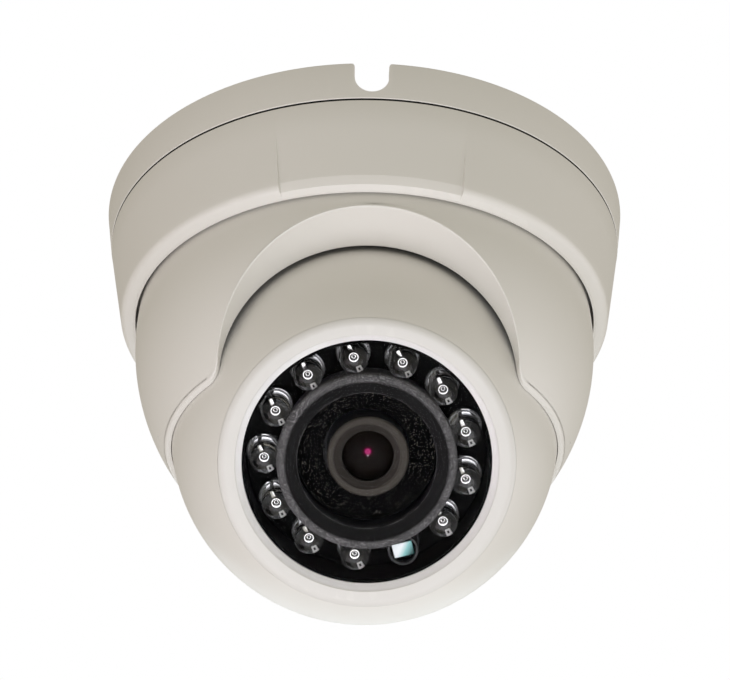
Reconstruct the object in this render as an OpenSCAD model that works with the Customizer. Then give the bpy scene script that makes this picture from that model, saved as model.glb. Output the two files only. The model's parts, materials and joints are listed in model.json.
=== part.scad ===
// Ceiling dome camera: a turning bowl hangs in a ceiling ring and carries a tilting eyeball,
// and a camera module with infra-red lamps turns in the eyeball's front opening.
// +Z is up, and the origin is the centre of the face that meets the ceiling.

/* [Ceiling base] */
// Radius of the base where it meets the ceiling
base_r = 46.7; // [46.4:0.1:48]
// Radius of the base at its lower edge
base_low_r = 45.95; // [45.6:0.05:46]
// Height of the base rim
base_h = 7.1; // [6.8:0.1:7.4]
// Thickness of the base rim
rim_t = 2.3; // [1.8:0.1:2.8]
// Thickness of the base web
web_t = 2; // [1.5:0.1:2.4]
// Diameter of the circle through the mounting holes
hole_circle_d = 60; // [52:1:66]
// Radius of each mounting hole
hole_r = 2.1; // [1.6:0.1:2.4]
// Width of the cable notch in the rim
notch_w = 5.95; // [5:0.1:8]
// Depth of the cable notch below the ceiling
notch_d = 5.8; // [5:0.1:6.4]
// Radius of the cable hole in the rubber gland
gland_bore_r = 3; // [2:0.1:3.6]

/* [Cover ring] */
// Height of the ring's upper edge below the ceiling
ring_top = 7.6; // [7.4:0.1:8]
// Height of the ring's lower lip below the ceiling
ring_low = 23.6; // [23.4:0.1:24.2]
// Outer radius of the ring at its upper edge
ring_top_r = 45.85; // [45.6:0.05:46]
// Outer radius of the ring where its lower rounding starts
ring_low_r = 43.75; // [43.6:0.05:44]
// Radius of the opening in the ring's lower lip
lip_r = 41; // [40.95:0.05:41.5]

/* [Turning bowl] */
// Outer radius of the bowl
bowl_r = 40.8; // [40.6:0.05:40.9]
// Height of the bowl's centre below the ceiling
bowl_z = 28.4; // [28.2:0.05:28.6]
// Thickness of the bowl's wall
bowl_t = 2.2; // [1.6:0.1:2.6]
// Height of the bowl's lower edge below the ceiling
bowl_low = 49.8; // [49.4:0.1:50.2]

/* [Eyeball] */
// Radius of the eyeball
ball_r = 34; // [33.8:0.05:34.05]
// Height of the eyeball's centre below the ceiling
ball_z = 45.3; // [45.1:0.05:45.5]
// Thickness of the eyeball's wall
ball_t = 2.2; // [1.8:0.1:2.4]
// Angle of the optical axis from straight down at rest
rest_tilt = 43; // [38:0.5:48]
// Largest angle of the optical axis from straight down
top_tilt = 78; // [70:1:80]
// Radius of each pivot pin
pin_r = 2; // [1.6:0.1:2.4]

/* [Camera module] */
// Outer radius of the front bezel
bezel_r = 25.35; // [25.2:0.05:25.4]
// Radius of the window's inner edge
window_r = 21.3; // [21:0.05:21.4]
// Number of places on the lamp circle, one of which is the light sensor
lamp_count = 13; // [13:1:13]
// Radius of the lamp circle
lamp_circle_r = 17.5; // [17.4:0.05:17.6]
// Outer radius of the rubber hood
hood_r = 15.4; // [15:0.05:15.5]
// Inner radius of the rubber hood's front lip
hood_bore_r = 11.9; // [11.7:0.05:12.2]
// Radius of the lens head
lens_r = 7; // [6.8:0.05:7.1]
// Travel of the day and night filter
filter_travel = 7; // [6:0.5:7]

/* [Hidden] */
$fn = 96;
eps = 0.01;

// clearances
run_gap = 0.05;
seat_gap = 0.2;

// heights of the ceiling parts, all below zero
web_top = -(base_h - web_t);
web_low = -base_h;
boss_r = 4;
gland_r = 6;
gland_lip = 1.2;
skirt_out = 41.5;
skirt_in = 39.3;
flange_top = -12.2;
flange_low = -14.15;
flange_r = 41.7;
washer_t = 0.8;
ledge_top = flange_low - run_gap - washer_t;
ledge_low = ledge_top - 2;
ledge_r = 39.6;
ring_in_r = 43;
lug_half = 12;
stop_half = 2;
screw_holes = [90, 210, 330];

// distances along the optical axis, counted from the eyeball's centre
face_h = 23.3;
seat_h = 22.1;
glass_h = 23.15;
bezel_round = 1.9;
module_low = 6.4;
flange_h = 1.8;
split_h = -4;
gasket_t = 0.5;
retainer_t = 2;
mask_h = 12.9;
board_top = 12.1;
board_t = 1.6;
lamp_base = 12.5;
lamp_tip = 21.1;
lens_front = 18.2;
hood_low = mask_h;
frame_low = 4.9;
sensor_board_top = -5.6;
main_board_top = -11.6;
shell_screw_r = 28.7;
post_xy = 12.5;

lamp_step = 360 / lamp_count;
lamp_start = -8.3;
sensor_place = 6;
lamp_places = [for (k = [0 : lamp_count - 1]) if (k != sensor_place) k];

function place(k) = lamp_start + k * lamp_step;
function two(n) = str(n < 10 ? "0" : "", n);
function lamp_name(i) = str("ir_led_", two(i + 1));

LAMPS = [for (i = [0 : len(lamp_places) - 1]) lamp_name(i)];
FIXED = ["base_dish", "cable_gland", "cover_ring", "lock_screw", "pan_washer"];
TURRET = ["turret_bowl", "tilt_pins"];
EYEBALL = ["eyeball_front_shell", "eyeball_rear_shell", "shell_gasket", "shell_screws",
    "pivot_rings", "ball_gland", "module_retainer", "retainer_screws"];
MODULE = ["front_bezel", "window_glass", "hood_ring", "light_trap", "led_mask", "led_board",
    "light_sensor", "sensor_sleeve", "module_frame", "frame_screws", "led_board_screws",
    "lens_barrel", "lens_cap_ring", "front_lens", "rear_lens", "lens_lock_nut", "lens_holder",
    "filter_coil", "image_sensor", "sensor_board", "board_spacers", "main_board",
    "board_screws", "video_processor", "heat_sink", "cable_header"];
FILTER = ["filter_slider", "filter_glass", "clear_glass"];

// ---------- frames and small shapes ----------

// Puts its children in the optical frame: +Z forwards along the optical axis, +Y upwards.
module eye(tilt = rest_tilt) {
    translate([0, 0, -ball_z])
        rotate([180 - tilt, 0, 0])
            children();
}

// A tube between two heights.
module tube(r_out, r_in, low, high) {
    difference() {
        translate([0, 0, low]) cylinder(r = r_out, h = high - low);
        translate([0, 0, low - 1]) cylinder(r = r_in, h = high - low + 2);
    }
}

// A disc between two heights.
module disc(r, low, high) {
    translate([0, 0, low]) cylinder(r = r, h = high - low);
}

// A block centred on X and Y, between two heights.
module slab(x, y, low, high) {
    translate([-x / 2, -y / 2, low]) cube([x, y, high - low]);
}

// A pan-head screw that points up, with its head's seat at the origin and a cross recess.
module screw_up(shank_r, length, head_r, head_h) {
    difference() {
        union() {
            cylinder(r = shank_r, h = length, $fn = 32);
            translate([0, 0, -head_h]) cylinder(r = head_r, h = head_h, $fn = 32);
        }
        for (turn = [0, 90])
            rotate(turn)
                translate([-head_r * 0.6, -0.25, -head_h - eps])
                    cube([head_r * 1.2, 0.5, head_h * 0.55]);
    }
}

// The places of the screws that join the two eyeball shells.
module at_shell_screws() {
    for (a = [45 : 90 : 315])
        rotate(a)
            translate([shell_screw_r, 0, 0])
                children();
}

// The places of the four posts behind the lens.
module at_posts() {
    for (sx = [-1, 1])
        for (sy = [-1, 1])
            translate([sx * post_xy, sy * post_xy, 0])
                children();
}

// The place of one lamp on its circle, clockwise from the top as seen from the front.
module at_lamp(k) {
    rotate(-place(k))
        translate([0, lamp_circle_r, 0])
            rotate(place(k))
                children();
}

// The two legs of a lamp or of the light sensor, all of them set the same way round.
module at_legs() {
    leg_x = 1.27;
    leg_turn = -66;
    rotate(leg_turn)
        for (s = [-1, 1])
            translate([s * leg_x, 0, 0])
                children();
}

// ---------- ceiling base ----------

module base_dish() {
    color("gainsboro")
        difference() {
            union() {
                base_profile();
                for (a = screw_holes)
                    rotate(a)
                        translate([hole_circle_d / 2, 0, web_top - eps])
                            cylinder(r = boss_r, h = -web_top + eps);
                base_lugs();
            }
            for (a = screw_holes)
                rotate(a)
                    translate([hole_circle_d / 2, 0, web_low - 1])
                        cylinder(r = hole_r, h = base_h + 2);
            disc(gland_r, web_low - 1, web_top + 1);
            cable_notch();
        }
}

module base_profile() {
    rotate_extrude()
        polygon([
            [0, web_top],
            [base_r - rim_t - 0.4, web_top],
            [base_r - rim_t, 0],
            [base_r, 0],
            [base_low_r, -base_h + 0.12],
            [base_low_r - 0.12, web_low],
            [skirt_out, web_low],
            [skirt_out, flange_top + seat_gap],
            [skirt_in, flange_top + seat_gap],
            [skirt_in, web_low],
            [0, web_low]
        ]);
}

// Three outward lugs that the cover ring hangs on.
module base_lugs() {
    for (a = [30, 150, 270])
        rotate(a - lug_half)
            rotate_extrude(angle = 2 * lug_half)
                polygon([[skirt_out - 0.5, -9.8], [42.7, -9.8], [42.7, -11.2], [skirt_out - 0.5, -11.2]]);
}

module cable_notch() {
    bottom_r = notch_w / 2;
    translate([0, -base_r + rim_t + 1.2, 0])
        rotate([90, 0, 0]) {
            translate([0, bottom_r - notch_d, 0]) cylinder(r = bottom_r, h = 8);
            translate([-bottom_r, bottom_r - notch_d, 0]) cube([notch_w, notch_d, 8]);
        }
}

module cable_gland() {
    color("dimgray")
        difference() {
            union() {
                disc(gland_r, web_low, web_top);
                disc(gland_r + 2, web_top, web_top + gland_lip);
                disc(gland_r + 2, web_low - gland_lip, web_low);
            }
            disc(gland_bore_r, web_low - 3, web_top + 3);
        }
}

// ---------- cover ring ----------

module cover_ring() {
    color("gainsboro")
        difference() {
            union() {
                rotate_extrude()
                    polygon([
                        [43.9, -ring_top],
                        [ring_top_r, -ring_top],
                        [ring_low_r, -21.3],
                        [43.52, -21.95],
                        [43.15, -22.6],
                        [42.6, -23.15],
                        [41.9, -ring_low + 0.06],
                        [lip_r + 0.1, -ring_low],
                        [lip_r, -ring_low + 0.15],
                        [lip_r, ledge_low],
                        [ledge_r, ledge_low],
                        [ledge_r, ledge_top],
                        [ring_in_r, ledge_top],
                        [ring_in_r, -9]
                    ]);
                ring_lugs();
                pan_stop();
            }
            lock_screw_hole();
        }
}

// Three inward lugs that rest on the base's lugs.
module ring_lugs() {
    for (a = [30, 150, 270])
        rotate(a - lug_half)
            rotate_extrude(angle = 2 * lug_half)
                polygon([[41.8, -8.6], [43.8, -8.6], [43.4, -9.8], [41.8, -9.8]]);
}

// The rib that ends the bowl's turn.
module pan_stop() {
    rotate(-90 - stop_half)
        rotate_extrude(angle = 2 * stop_half)
            polygon([[41.95, flange_top], [ring_in_r + 0.5, flange_top],
                [ring_in_r + 0.5, ledge_top - 0.5], [41.95, ledge_top - 0.5]]);
}

module lock_screw_hole() {
    translate([0, 40, -19.6])
        rotate([-90, 0, 0])
            cylinder(r = 1.25, h = 8, $fn = 48);
}

module lock_screw() {
    color("silver")
        translate([0, 41.6, -19.6])
            rotate([-90, 0, 0])
                difference() {
                    cylinder(r = 1.2, h = 2.2, $fn = 48);
                    translate([0, 0, 1.2]) cylinder(r = 0.7, h = 2, $fn = 6);
                }
}

module pan_washer() {
    color("dimgray")
        tube(flange_r - 0.2, ledge_r + 0.1, ledge_top, ledge_top + washer_t);
}

// ---------- turning bowl ----------

module turret_bowl() {
    color("gainsboro")
        difference() {
            union() {
                bowl_shell();
                tube(flange_r, 36.4, flange_low, flange_top);
                bowl_stop();
            }
            translate([0, 0, -ball_z]) sphere(r = ball_r + seat_gap);
            arch_relief();
            arch(0);
            for (s = [-1, 1])
                translate([s * 30, 0, -ball_z])
                    rotate([0, s * 90, 0])
                        cylinder(r = pin_r + 0.02, h = 6.2);
        }
}

// The bowl's wall, thick at its lower seat, round the arch and at the two pivots.
module bowl_shell() {
    difference() {
        intersection() {
            translate([0, 0, -bowl_z]) sphere(r = bowl_r);
            disc(bowl_r + 1, -bowl_low, flange_top);
        }
        difference() {
            translate([0, 0, -bowl_z]) sphere(r = bowl_r - bowl_t);
            disc(bowl_r, -bowl_low - 1, -43.2);
            arch(2);
            translate([-bowl_r, 0, -ball_z])
                rotate([0, 90, 0])
                    cylinder(r = 4.4, h = 2 * bowl_r);
        }
    }
}

// A wider gap round the upper eyeball, above the bowl's lower seat.
module arch_relief() {
    relief = 0.7;
    intersection() {
        translate([0, 0, -ball_z]) sphere(r = ball_r + seat_gap + relief);
        disc(ball_r + 1, -41, flange_top + 1);
    }
}

// The flared round cut that the eyeball looks out of, wider by grow all round.
module arch(grow) {
    throat = 22;
    throat_r = 25.3;
    flare = 8;
    reach = 24;
    eye(top_tilt)
        translate([0, 0, throat])
            rotate([-3, 0, 0])
                cylinder(r1 = throat_r + grow, r2 = throat_r + grow + reach * tan(flare), h = reach);
}

// The lug that meets the ring's rib at the end of the turn.
module bowl_stop() {
    rotate(90 - stop_half)
        rotate_extrude(angle = 2 * stop_half)
            polygon([[flange_r - 0.5, flange_low], [42.8, flange_low],
                [42.8, flange_top], [flange_r - 0.5, flange_top]]);
}

module tilt_pins() {
    color("silver")
        for (s = [-1, 1])
            translate([s * 29, 0, -ball_z])
                rotate([0, s * 90, 0])
                    cylinder(r = pin_r, h = 7.2);
}

// ---------- eyeball ----------

// The shell's wall between two distances along the optical axis.
module ball_wall(low, high) {
    intersection() {
        difference() {
            sphere(r = ball_r);
            sphere(r = ball_r - ball_t);
        }
        disc(ball_r + 1, low, high);
    }
}

module pivot_bosses() {
    intersection() {
        translate([-ball_r, 0, 0])
            rotate([0, 90, 0])
                cylinder(r = 3.7, h = 2 * ball_r);
        disc(ball_r, split_h + gasket_t, ball_r);
        difference() {
            sphere(r = ball_r - ball_t / 2);
            translate([-28.8, -5, -5]) cube([57.6, 10, 10]);
        }
    }
}

module eyeball_front_shell() {
    color("gainsboro")
        eye()
            difference() {
                union() {
                    ball_wall(split_h + gasket_t, face_h);
                    pivot_bosses();
                    intersection() {
                        sphere(r = ball_r - ball_t / 2);
                        tube(30.4, bezel_r - 1, module_low - 0.2, face_h);
                    }
                    at_shell_screws()
                        disc(2.9, split_h + gasket_t, 3.6);
                }
                disc(bezel_r + 0.1, module_low + flange_h, ball_r);
                disc(bezel_r + 1.9, -ball_r, module_low + flange_h + seat_gap);
                pivot_cuts();
                at_shell_screws()
                    disc(0.9, split_h, 3);
                for (a = [0 : 90 : 270])
                    rotate(a)
                        translate([28.8, 0, module_low - 1])
                            cylinder(r = 0.75, h = 4.2, $fn = 32);
            }
}

module pivot_cuts() {
    translate([-ball_r - 1, 0, 0])
        rotate([0, 90, 0])
            cylinder(r = pin_r + run_gap, h = 2 * ball_r + 2);
    for (s = [-1, 1])
        translate([s * 31.6, 0, 0])
            rotate([0, s * 90, 0])
                cylinder(r = pin_r + 0.9, h = 4);
}

// Rubber rings round the pivot pins that hold the eyeball where it is set.
module pivot_rings() {
    color("dimgray")
        for (s = [-1, 1])
            translate([s * 31.6, 0, -ball_z])
                rotate([0, s * 90, 0])
                    tube(pin_r + 0.9, pin_r + run_gap, 0, 1.4);
}

module eyeball_rear_shell() {
    color("gainsboro")
        eye()
            difference() {
                union() {
                    ball_wall(-ball_r - 1, split_h);
                    tube(31.2, 29.6, split_h - 3, split_h + 1.2);
                    intersection() {
                        sphere(r = ball_r - ball_t / 2);
                        at_shell_screws()
                            disc(3, -20, split_h);
                    }
                }
                at_shell_screws() {
                    disc(1.1, -20, split_h + 2);
                    disc(2.2, -25, -9.5);
                }
                at_shell_screws()
                    disc(3.1, split_h, split_h + 3);
                translate([-ball_r, 0, 0])
                    rotate([0, 90, 0])
                        cylinder(r = 3.9, h = 2 * ball_r);
                disc(4, -ball_r - 1, -ball_r + 5);
            }
}

module shell_gasket() {
    color("dimgray")
        eye()
            tube(33.3, 31.75, split_h, split_h + gasket_t);
}

module shell_screws() {
    color("silver")
        eye()
            at_shell_screws()
                translate([0, 0, -9.5])
                    screw_up(0.86, 12, 2, 1.5);
}

// The rubber gland in the back of the eyeball.
module ball_gland() {
    color("dimgray")
        eye()
            difference() {
                intersection() {
                    sphere(r = ball_r - 0.1);
                    union() {
                        disc(3.95, -ball_r, -ball_r + 3);
                        disc(5.6, -ball_r + ball_t + 0.6, -ball_r + 4.6);
                    }
                }
                disc(1.6, -ball_r - 1, -ball_r + 6);
            }
}

module module_retainer() {
    color("lightgray")
        eye()
            difference() {
                tube(30.2, bezel_r + 0.3, module_low - 0.2 - retainer_t, module_low - 0.2);
                for (a = [0 : 90 : 270])
                    rotate(a)
                        translate([28.8, 0, 0])
                            cylinder(r = 0.95, h = 10, $fn = 32);
            }
}

module retainer_screws() {
    color("silver")
        eye()
            for (a = [0 : 90 : 270])
                rotate(a)
                    translate([28.8, 0, module_low - 0.2 - retainer_t])
                        screw_up(0.71, 4.6, 1.3, 0.3);
}

// ---------- camera module ----------

module front_bezel() {
    color("whitesmoke")
        eye()
            difference() {
                union() {
                    bezel_profile();
                    tube(bezel_r + 1.7, bezel_r - 2, module_low, module_low + flange_h - 0.2);
                }
                for (a = [30, 150, 270])
                    rotate(a)
                        translate([24, 0, module_low - 1])
                            cylinder(r = 0.75, h = 6, $fn = 32);
            }
}

// The bezel's rounded front, flat rim and conical glass seat.
module bezel_profile() {
    steps = 8;
    reach = ball_r - bezel_round;
    tip = acos((face_h - bezel_round) / reach);
    rotate_extrude()
        polygon(concat(
            [[window_r, seat_h], [window_r + face_h - seat_h, face_h]],
            [for (i = [0 : steps])
                [reach * sin(tip) + bezel_round * sin(i * tip / steps),
                    face_h - bezel_round + bezel_round * cos(i * tip / steps)]],
            [[bezel_r, 21], [bezel_r, module_low], [22.7, module_low], [22.7, 8.5], [window_r, 8.5]]
        ));
}

module window_glass() {
    color("lightblue", 0.3)
        eye()
            translate([0, 0, seat_h])
                cylinder(r1 = window_r - run_gap, r2 = window_r + glass_h - seat_h - run_gap,
                    h = glass_h - seat_h);
}

module hood_ring() {
    color("dimgray")
        eye()
            rotate_extrude()
                polygon([
                    [12.6, hood_low],
                    [hood_r - 1, hood_low],
                    [hood_r - 1, 14.2],
                    [hood_r - 0.6, 14.4],
                    [hood_r - 0.6, 19.3],
                    [hood_r, 20.3],
                    [hood_r, 21.1],
                    [15.2, 21.6],
                    [14.6, seat_h - 0.1],
                    [13.9, seat_h - 0.1],
                    [hood_bore_r, 20.9],
                    [hood_bore_r, 20.1]
                ]);
}

// The speckled cone that keeps stray light off the lens.
module light_trap() {
    color("black")
        eye()
            rotate_extrude()
                polygon([
                    [lens_r + 0.4, board_top + 0.1],
                    [10.8, board_top + 0.1],
                    [10.8, hood_low],
                    [12.3, hood_low],
                    [11.8, 15.2],
                    [10.9, 15.4],
                    [lens_r + 0.4, 14.2]
                ]);
}

module led_mask() {
    color("black")
        eye()
            difference() {
                union() {
                    disc(window_r - 0.05, board_top, mask_h);
                    tube(window_r - 0.05, window_r - 0.5, board_top, seat_h - 0.05);
                }
                disc(10.9, board_top - 1, mask_h + 1);
                for (k = [0 : lamp_count - 1])
                    at_lamp(k)
                        disc(3, board_top - 1, mask_h + 1);
                at_board_screws()
                    disc(1.7, board_top - 1, mask_h + 1);
            }
}

module at_board_screws() {
    for (a = [20, 140, 260])
        rotate(a)
            translate([13.2, 0, 0])
                children();
}

module led_board() {
    color("darkgreen")
        eye()
            difference() {
                tube(20.7, 8.3, board_top - board_t, board_top);
                for (k = [0 : lamp_count - 1])
                    at_lamp(k)
                        at_legs()
                            disc(0.42, board_top - 3, board_top + 1, $fn = 24);
                at_board_screws()
                    disc(1.05, board_top - 3, board_top + 1);
            }
}

// A clear lamp with a round nose, a flange and two legs through the board.
module ir_led(k) {
    body_r = 2.5;
    color("lightcyan", 0.5)
        eye()
            at_lamp(k) {
                disc(2.85, lamp_base, lamp_base + 1);
                disc(body_r, lamp_base, lamp_tip - body_r);
                translate([0, 0, lamp_tip - body_r]) sphere(r = body_r);
                at_legs()
                    disc(0.3, board_top - board_t - 0.9, lamp_base + 0.2, $fn = 24);
            }
}

module light_sensor() {
    color("turquoise")
        eye()
            at_lamp(sensor_place) {
                disc(2.2, lamp_base, 18.6);
                at_legs()
                    disc(0.3, board_top - board_t - 0.9, lamp_base + 0.2, $fn = 24);
            }
}

module sensor_sleeve() {
    color("dimgray")
        eye()
            at_lamp(sensor_place)
                tube(2.65, 2.25, lamp_base, 19.2);
}

module module_frame() {
    color("slategray")
        eye()
            difference() {
                union() {
                    disc(25.2, frame_low, module_low);
                    disc(22.6, frame_low, 8.4);
                    at_board_screws()
                        disc(2.2, frame_low, board_top - board_t);
                    at_posts()
                        disc(2.4, sensor_board_top, frame_low + 0.5);
                }
                disc(10.6, frame_low - 1, 9);
                for (k = [0 : lamp_count - 1])
                    at_lamp(k)
                        disc(2.4, 7.6, 9);
                for (a = [30, 150, 270])
                    rotate(a)
                        translate([24, 0, frame_low - 1])
                            cylinder(r = 0.95, h = 5, $fn = 32);
                at_board_screws()
                    disc(0.8, 6.4, 12);
                at_posts()
                    disc(0.8, sensor_board_top - 1, 0);
            }
}

module frame_screws() {
    color("silver")
        eye()
            for (a = [30, 150, 270])
                rotate(a)
                    translate([24, 0, frame_low])
                        screw_up(0.71, 5, 1.1, 0.6);
}

module led_board_screws() {
    color("silver")
        eye()
            at_board_screws()
                translate([0, 0, board_top])
                    mirror([0, 0, 1])
                        screw_up(0.76, 4.8, 1.5, 0.7);
}

// ---------- lens ----------

module lens_barrel() {
    color("black")
        eye()
            difference() {
                union() {
                    disc(lens_r, 10.2, lens_front - 1.2);
                    disc(5.9, 1, 10.3);
                }
                disc(5.4, 13.2, lens_front);
                disc(3.4, 0, 14);
                disc(4.2, 0, 3.4);
            }
}

module lens_cap_ring() {
    color("rosybrown")
        eye()
            rotate_extrude()
                polygon([
                    [4.48, lens_front - 0.6],
                    [5.65, lens_front - 0.15],
                    [5.8, lens_front],
                    [lens_r - 0.3, lens_front],
                    [lens_r, lens_front - 0.3],
                    [lens_r, lens_front - 1.2],
                    [4.48, lens_front - 1.2]
                ]);
}

module front_lens() {
    color("darkslateblue")
        eye()
            intersection() {
                disc(5.35, 13.25, lens_front);
                translate([0, 0, 6.5]) sphere(r = 10.3);
            }
}

module rear_lens() {
    color("darkslateblue")
        eye()
            intersection() {
                disc(4.15, 1.1, 3.35);
                translate([0, 0, 8]) sphere(r = 6.8);
            }
}

module lens_lock_nut() {
    color("dimgray")
        eye()
            difference() {
                disc(7.6, 8.8, 10.15);
                disc(5.95, 8, 11);
                for (a = [0 : 60 : 300])
                    rotate(a)
                        translate([7, -0.6, 8])
                            cube([2, 1.2, 3]);
            }
}

module lens_holder() {
    color("black")
        eye()
            difference() {
                union() {
                    disc(7.4, -1.2, 8.75);
                    slab(27.6, 15.6, sensor_board_top, 0.4);
                }
                disc(5.95, -2, 9);
                slab(24.6, 12.6, sensor_board_top - 1, -1.1);
            }
}

module filter_coil() {
    color("peru")
        eye()
            translate([-5, 10, -3.3])
                rotate([0, 90, 0])
                    difference() {
                        union() {
                            cylinder(r = 1.6, h = 10);
                            cylinder(r = 2.1, h = 1);
                            translate([0, 0, 9]) cylinder(r = 2.1, h = 1);
                        }
                        translate([0, 0, -1]) cylinder(r = 0.6, h = 12, $fn = 24);
                    }
}

// The day and night filter plate, with a filtered window and a clear one.
module filter_slider() {
    color("gray")
        eye()
            difference() {
                translate([-4, -4.5, -3.1]) cube([15, 9, 0.8]);
                for (x = [0, filter_travel])
                    translate([x, 0, 0])
                        slab(5.6, 6.4, -4, -2);
            }
}

module filter_pane(x) {
    eye()
        translate([x, 0, 0])
            slab(5.6, 6.4, -3, -2.4);
}

module filter_glass() {
    color("steelblue", 0.6)
        filter_pane(0);
}

module clear_glass() {
    color("azure", 0.5)
        filter_pane(filter_travel);
}

// ---------- boards ----------

module image_sensor() {
    color("darkgray")
        eye()
            slab(8, 7, sensor_board_top, sensor_board_top + 1.2);
}

// A round board with four screw holes.
module round_board(r, top) {
    difference() {
        disc(r, top - board_t, top);
        at_posts()
            disc(1.1, top - 3, top + 1);
    }
}

module sensor_board() {
    color("darkgreen")
        eye()
            round_board(20.5, sensor_board_top);
}

module board_spacers() {
    color("silver")
        eye()
            at_posts()
                tube(2.2, 1.1, main_board_top, sensor_board_top - board_t);
}

module main_board() {
    color("darkgreen")
        eye()
            round_board(20.5, main_board_top);
}

module board_screws() {
    color("silver")
        eye()
            at_posts()
                translate([0, 0, main_board_top - board_t])
                    screw_up(0.76, 12, 1.7, 1.2);
}

module video_processor() {
    color("black")
        eye()
            slab(12, 12, main_board_top - board_t - 1.2, main_board_top - board_t);
}

module heat_sink() {
    fins = 6;
    top = main_board_top - board_t - 1.2;
    color("silver")
        eye() {
            slab(14, 14, top - 1, top);
            for (i = [0 : fins - 1])
                translate([-7 + i * (14 - 0.9) / (fins - 1), -7, top - 5])
                    cube([0.9, 14, 4 + eps]);
        }
}

module cable_header() {
    top = main_board_top - board_t;
    color("ivory")
        eye()
            translate([0, 12.6, 0])
                difference() {
                    slab(10, 4.6, top - 5, top);
                    slab(8.6, 3.2, top - 6, top - 1.2);
                    translate([0, 2, 0]) slab(4, 2, top - 6, top - 3);
                }
}

base_dish();
cable_gland();
cover_ring();
lock_screw();
pan_washer();
turret_bowl();
tilt_pins();
eyeball_front_shell();
eyeball_rear_shell();
shell_gasket();
shell_screws();
pivot_rings();
ball_gland();
module_retainer();
retainer_screws();
front_bezel();
window_glass();
hood_ring();
light_trap();
led_mask();
led_board();
light_sensor();
sensor_sleeve();
module_frame();
frame_screws();
led_board_screws();
lens_barrel();
lens_cap_ring();
front_lens();
rear_lens();
lens_lock_nut();
lens_holder();
filter_coil();
image_sensor();
sensor_board();
board_spacers();
main_board();
board_screws();
video_processor();
heat_sink();
cable_header();
filter_slider();
filter_glass();
clear_glass();
for (i = [0 : len(LAMPS) - 1])
    ir_led(lamp_places[i]);
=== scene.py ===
"""Looks of a ceiling dome camera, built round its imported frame.

A turning bowl hangs in a ceiling ring, an eyeball tilts in the bowl, and a camera module with a ring
of clear lamps turns in the eyeball's front opening. Every length is in metres.
"""

import json
import logging
import math
from dataclasses import dataclass, field
from enum import Enum
from typing import Sequence

import bmesh
import bpy
from mathutils import Matrix, Vector


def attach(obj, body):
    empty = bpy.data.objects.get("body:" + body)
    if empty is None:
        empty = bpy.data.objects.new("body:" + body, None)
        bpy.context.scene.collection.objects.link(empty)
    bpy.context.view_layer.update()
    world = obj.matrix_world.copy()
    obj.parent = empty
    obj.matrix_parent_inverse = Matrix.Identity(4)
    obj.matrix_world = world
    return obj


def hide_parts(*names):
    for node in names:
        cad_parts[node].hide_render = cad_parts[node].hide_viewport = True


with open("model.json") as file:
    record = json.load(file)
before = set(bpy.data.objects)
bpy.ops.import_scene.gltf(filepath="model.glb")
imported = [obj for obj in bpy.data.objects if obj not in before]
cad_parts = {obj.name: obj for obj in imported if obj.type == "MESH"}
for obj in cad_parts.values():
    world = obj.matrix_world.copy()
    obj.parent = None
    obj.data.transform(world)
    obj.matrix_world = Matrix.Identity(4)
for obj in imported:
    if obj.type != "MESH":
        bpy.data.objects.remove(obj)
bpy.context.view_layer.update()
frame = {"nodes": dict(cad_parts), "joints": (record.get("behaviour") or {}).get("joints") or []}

LOG = logging.getLogger("dome_camera")
MM = 0.001
FULL_TURN = 2 * math.pi
Point = tuple[float, float]
Corner = tuple[float, float, float]
Colour = tuple[float, float, float]


class Body(str, Enum):
    """The bodies that pieces ride on."""

    BASE = "base"
    TURRET = "turret"
    EYEBALL = "eyeball"
    MODULE = "camera_module"


# ---------------------------------------------------------------- places


@dataclass(frozen=True)
class OpticalFrame:
    """The eyeball's own frame: +Z forwards along the optical axis, +Y upwards, from the ball's centre."""

    centre: Vector
    forward: Vector

    @classmethod
    def from_joints(cls, joints: Sequence[dict]) -> "OpticalFrame":
        """Reads the frame from the joint that turns the camera module.

        Args:
            joints: The frame's joints.

        Returns:
            The optical frame at rest.
        """
        turn = next(j for j in joints if j["child"] == Body.MODULE.value)
        return cls(Vector(turn["pos_m"]), Vector(turn["axis"]).normalized())

    def matrix(self) -> Matrix:
        """Returns the matrix that puts optical coordinates into the row's frame."""
        side = Vector((1, 0, 0))
        up = self.forward.cross(side).normalized()
        turn = Matrix((side, up, self.forward)).transposed().to_4x4()
        return Matrix.Translation(self.centre) @ turn

    def tilted(self, angle: float) -> "OpticalFrame":
        """Returns the same frame with its axis at an angle, in radians, from straight down."""
        return OpticalFrame(self.centre, Vector((0, -math.sin(angle), -math.cos(angle))))


EYE = OpticalFrame.from_joints(frame["joints"])


# ---------------------------------------------------------------- mesh work


def rounded(corners: Sequence[Corner], steps: int = 6, closed: bool = True) -> list[Point]:
    """Turns each corner of an outline into an arc.

    Args:
        corners: Points as (x, y, radius); a radius of 0 keeps the corner sharp.
        steps: Segments in each arc.
        closed: Whether the last point joins the first.

    Returns:
        The outline's points.
    """
    points: list[Point] = []
    count = len(corners)
    for i, (x, y, radius) in enumerate(corners):
        inner = closed or 0 < i < count - 1
        here = Vector((x, y))
        if radius <= 0 or not inner:
            points.append((x, y))
            continue
        to_last = Vector(corners[i - 1][:2]) - here
        to_next = Vector(corners[(i + 1) % count][:2]) - here
        half = to_last.angle(to_next) / 2
        reach = min(radius / math.tan(half), 0.48 * to_last.length, 0.48 * to_next.length)
        radius = reach * math.tan(half)
        middle = here + (to_last.normalized() + to_next.normalized()).normalized() * radius / math.sin(half)
        start = here + to_last.normalized() * reach - middle
        end = here + to_next.normalized() * reach - middle
        sweep = start.angle_signed(end)
        for k in range(steps + 1):
            spoke = start.copy()
            spoke.rotate(Matrix.Rotation(-sweep * k / steps, 2))
            points.append(tuple(middle + spoke))
    return points


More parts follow.
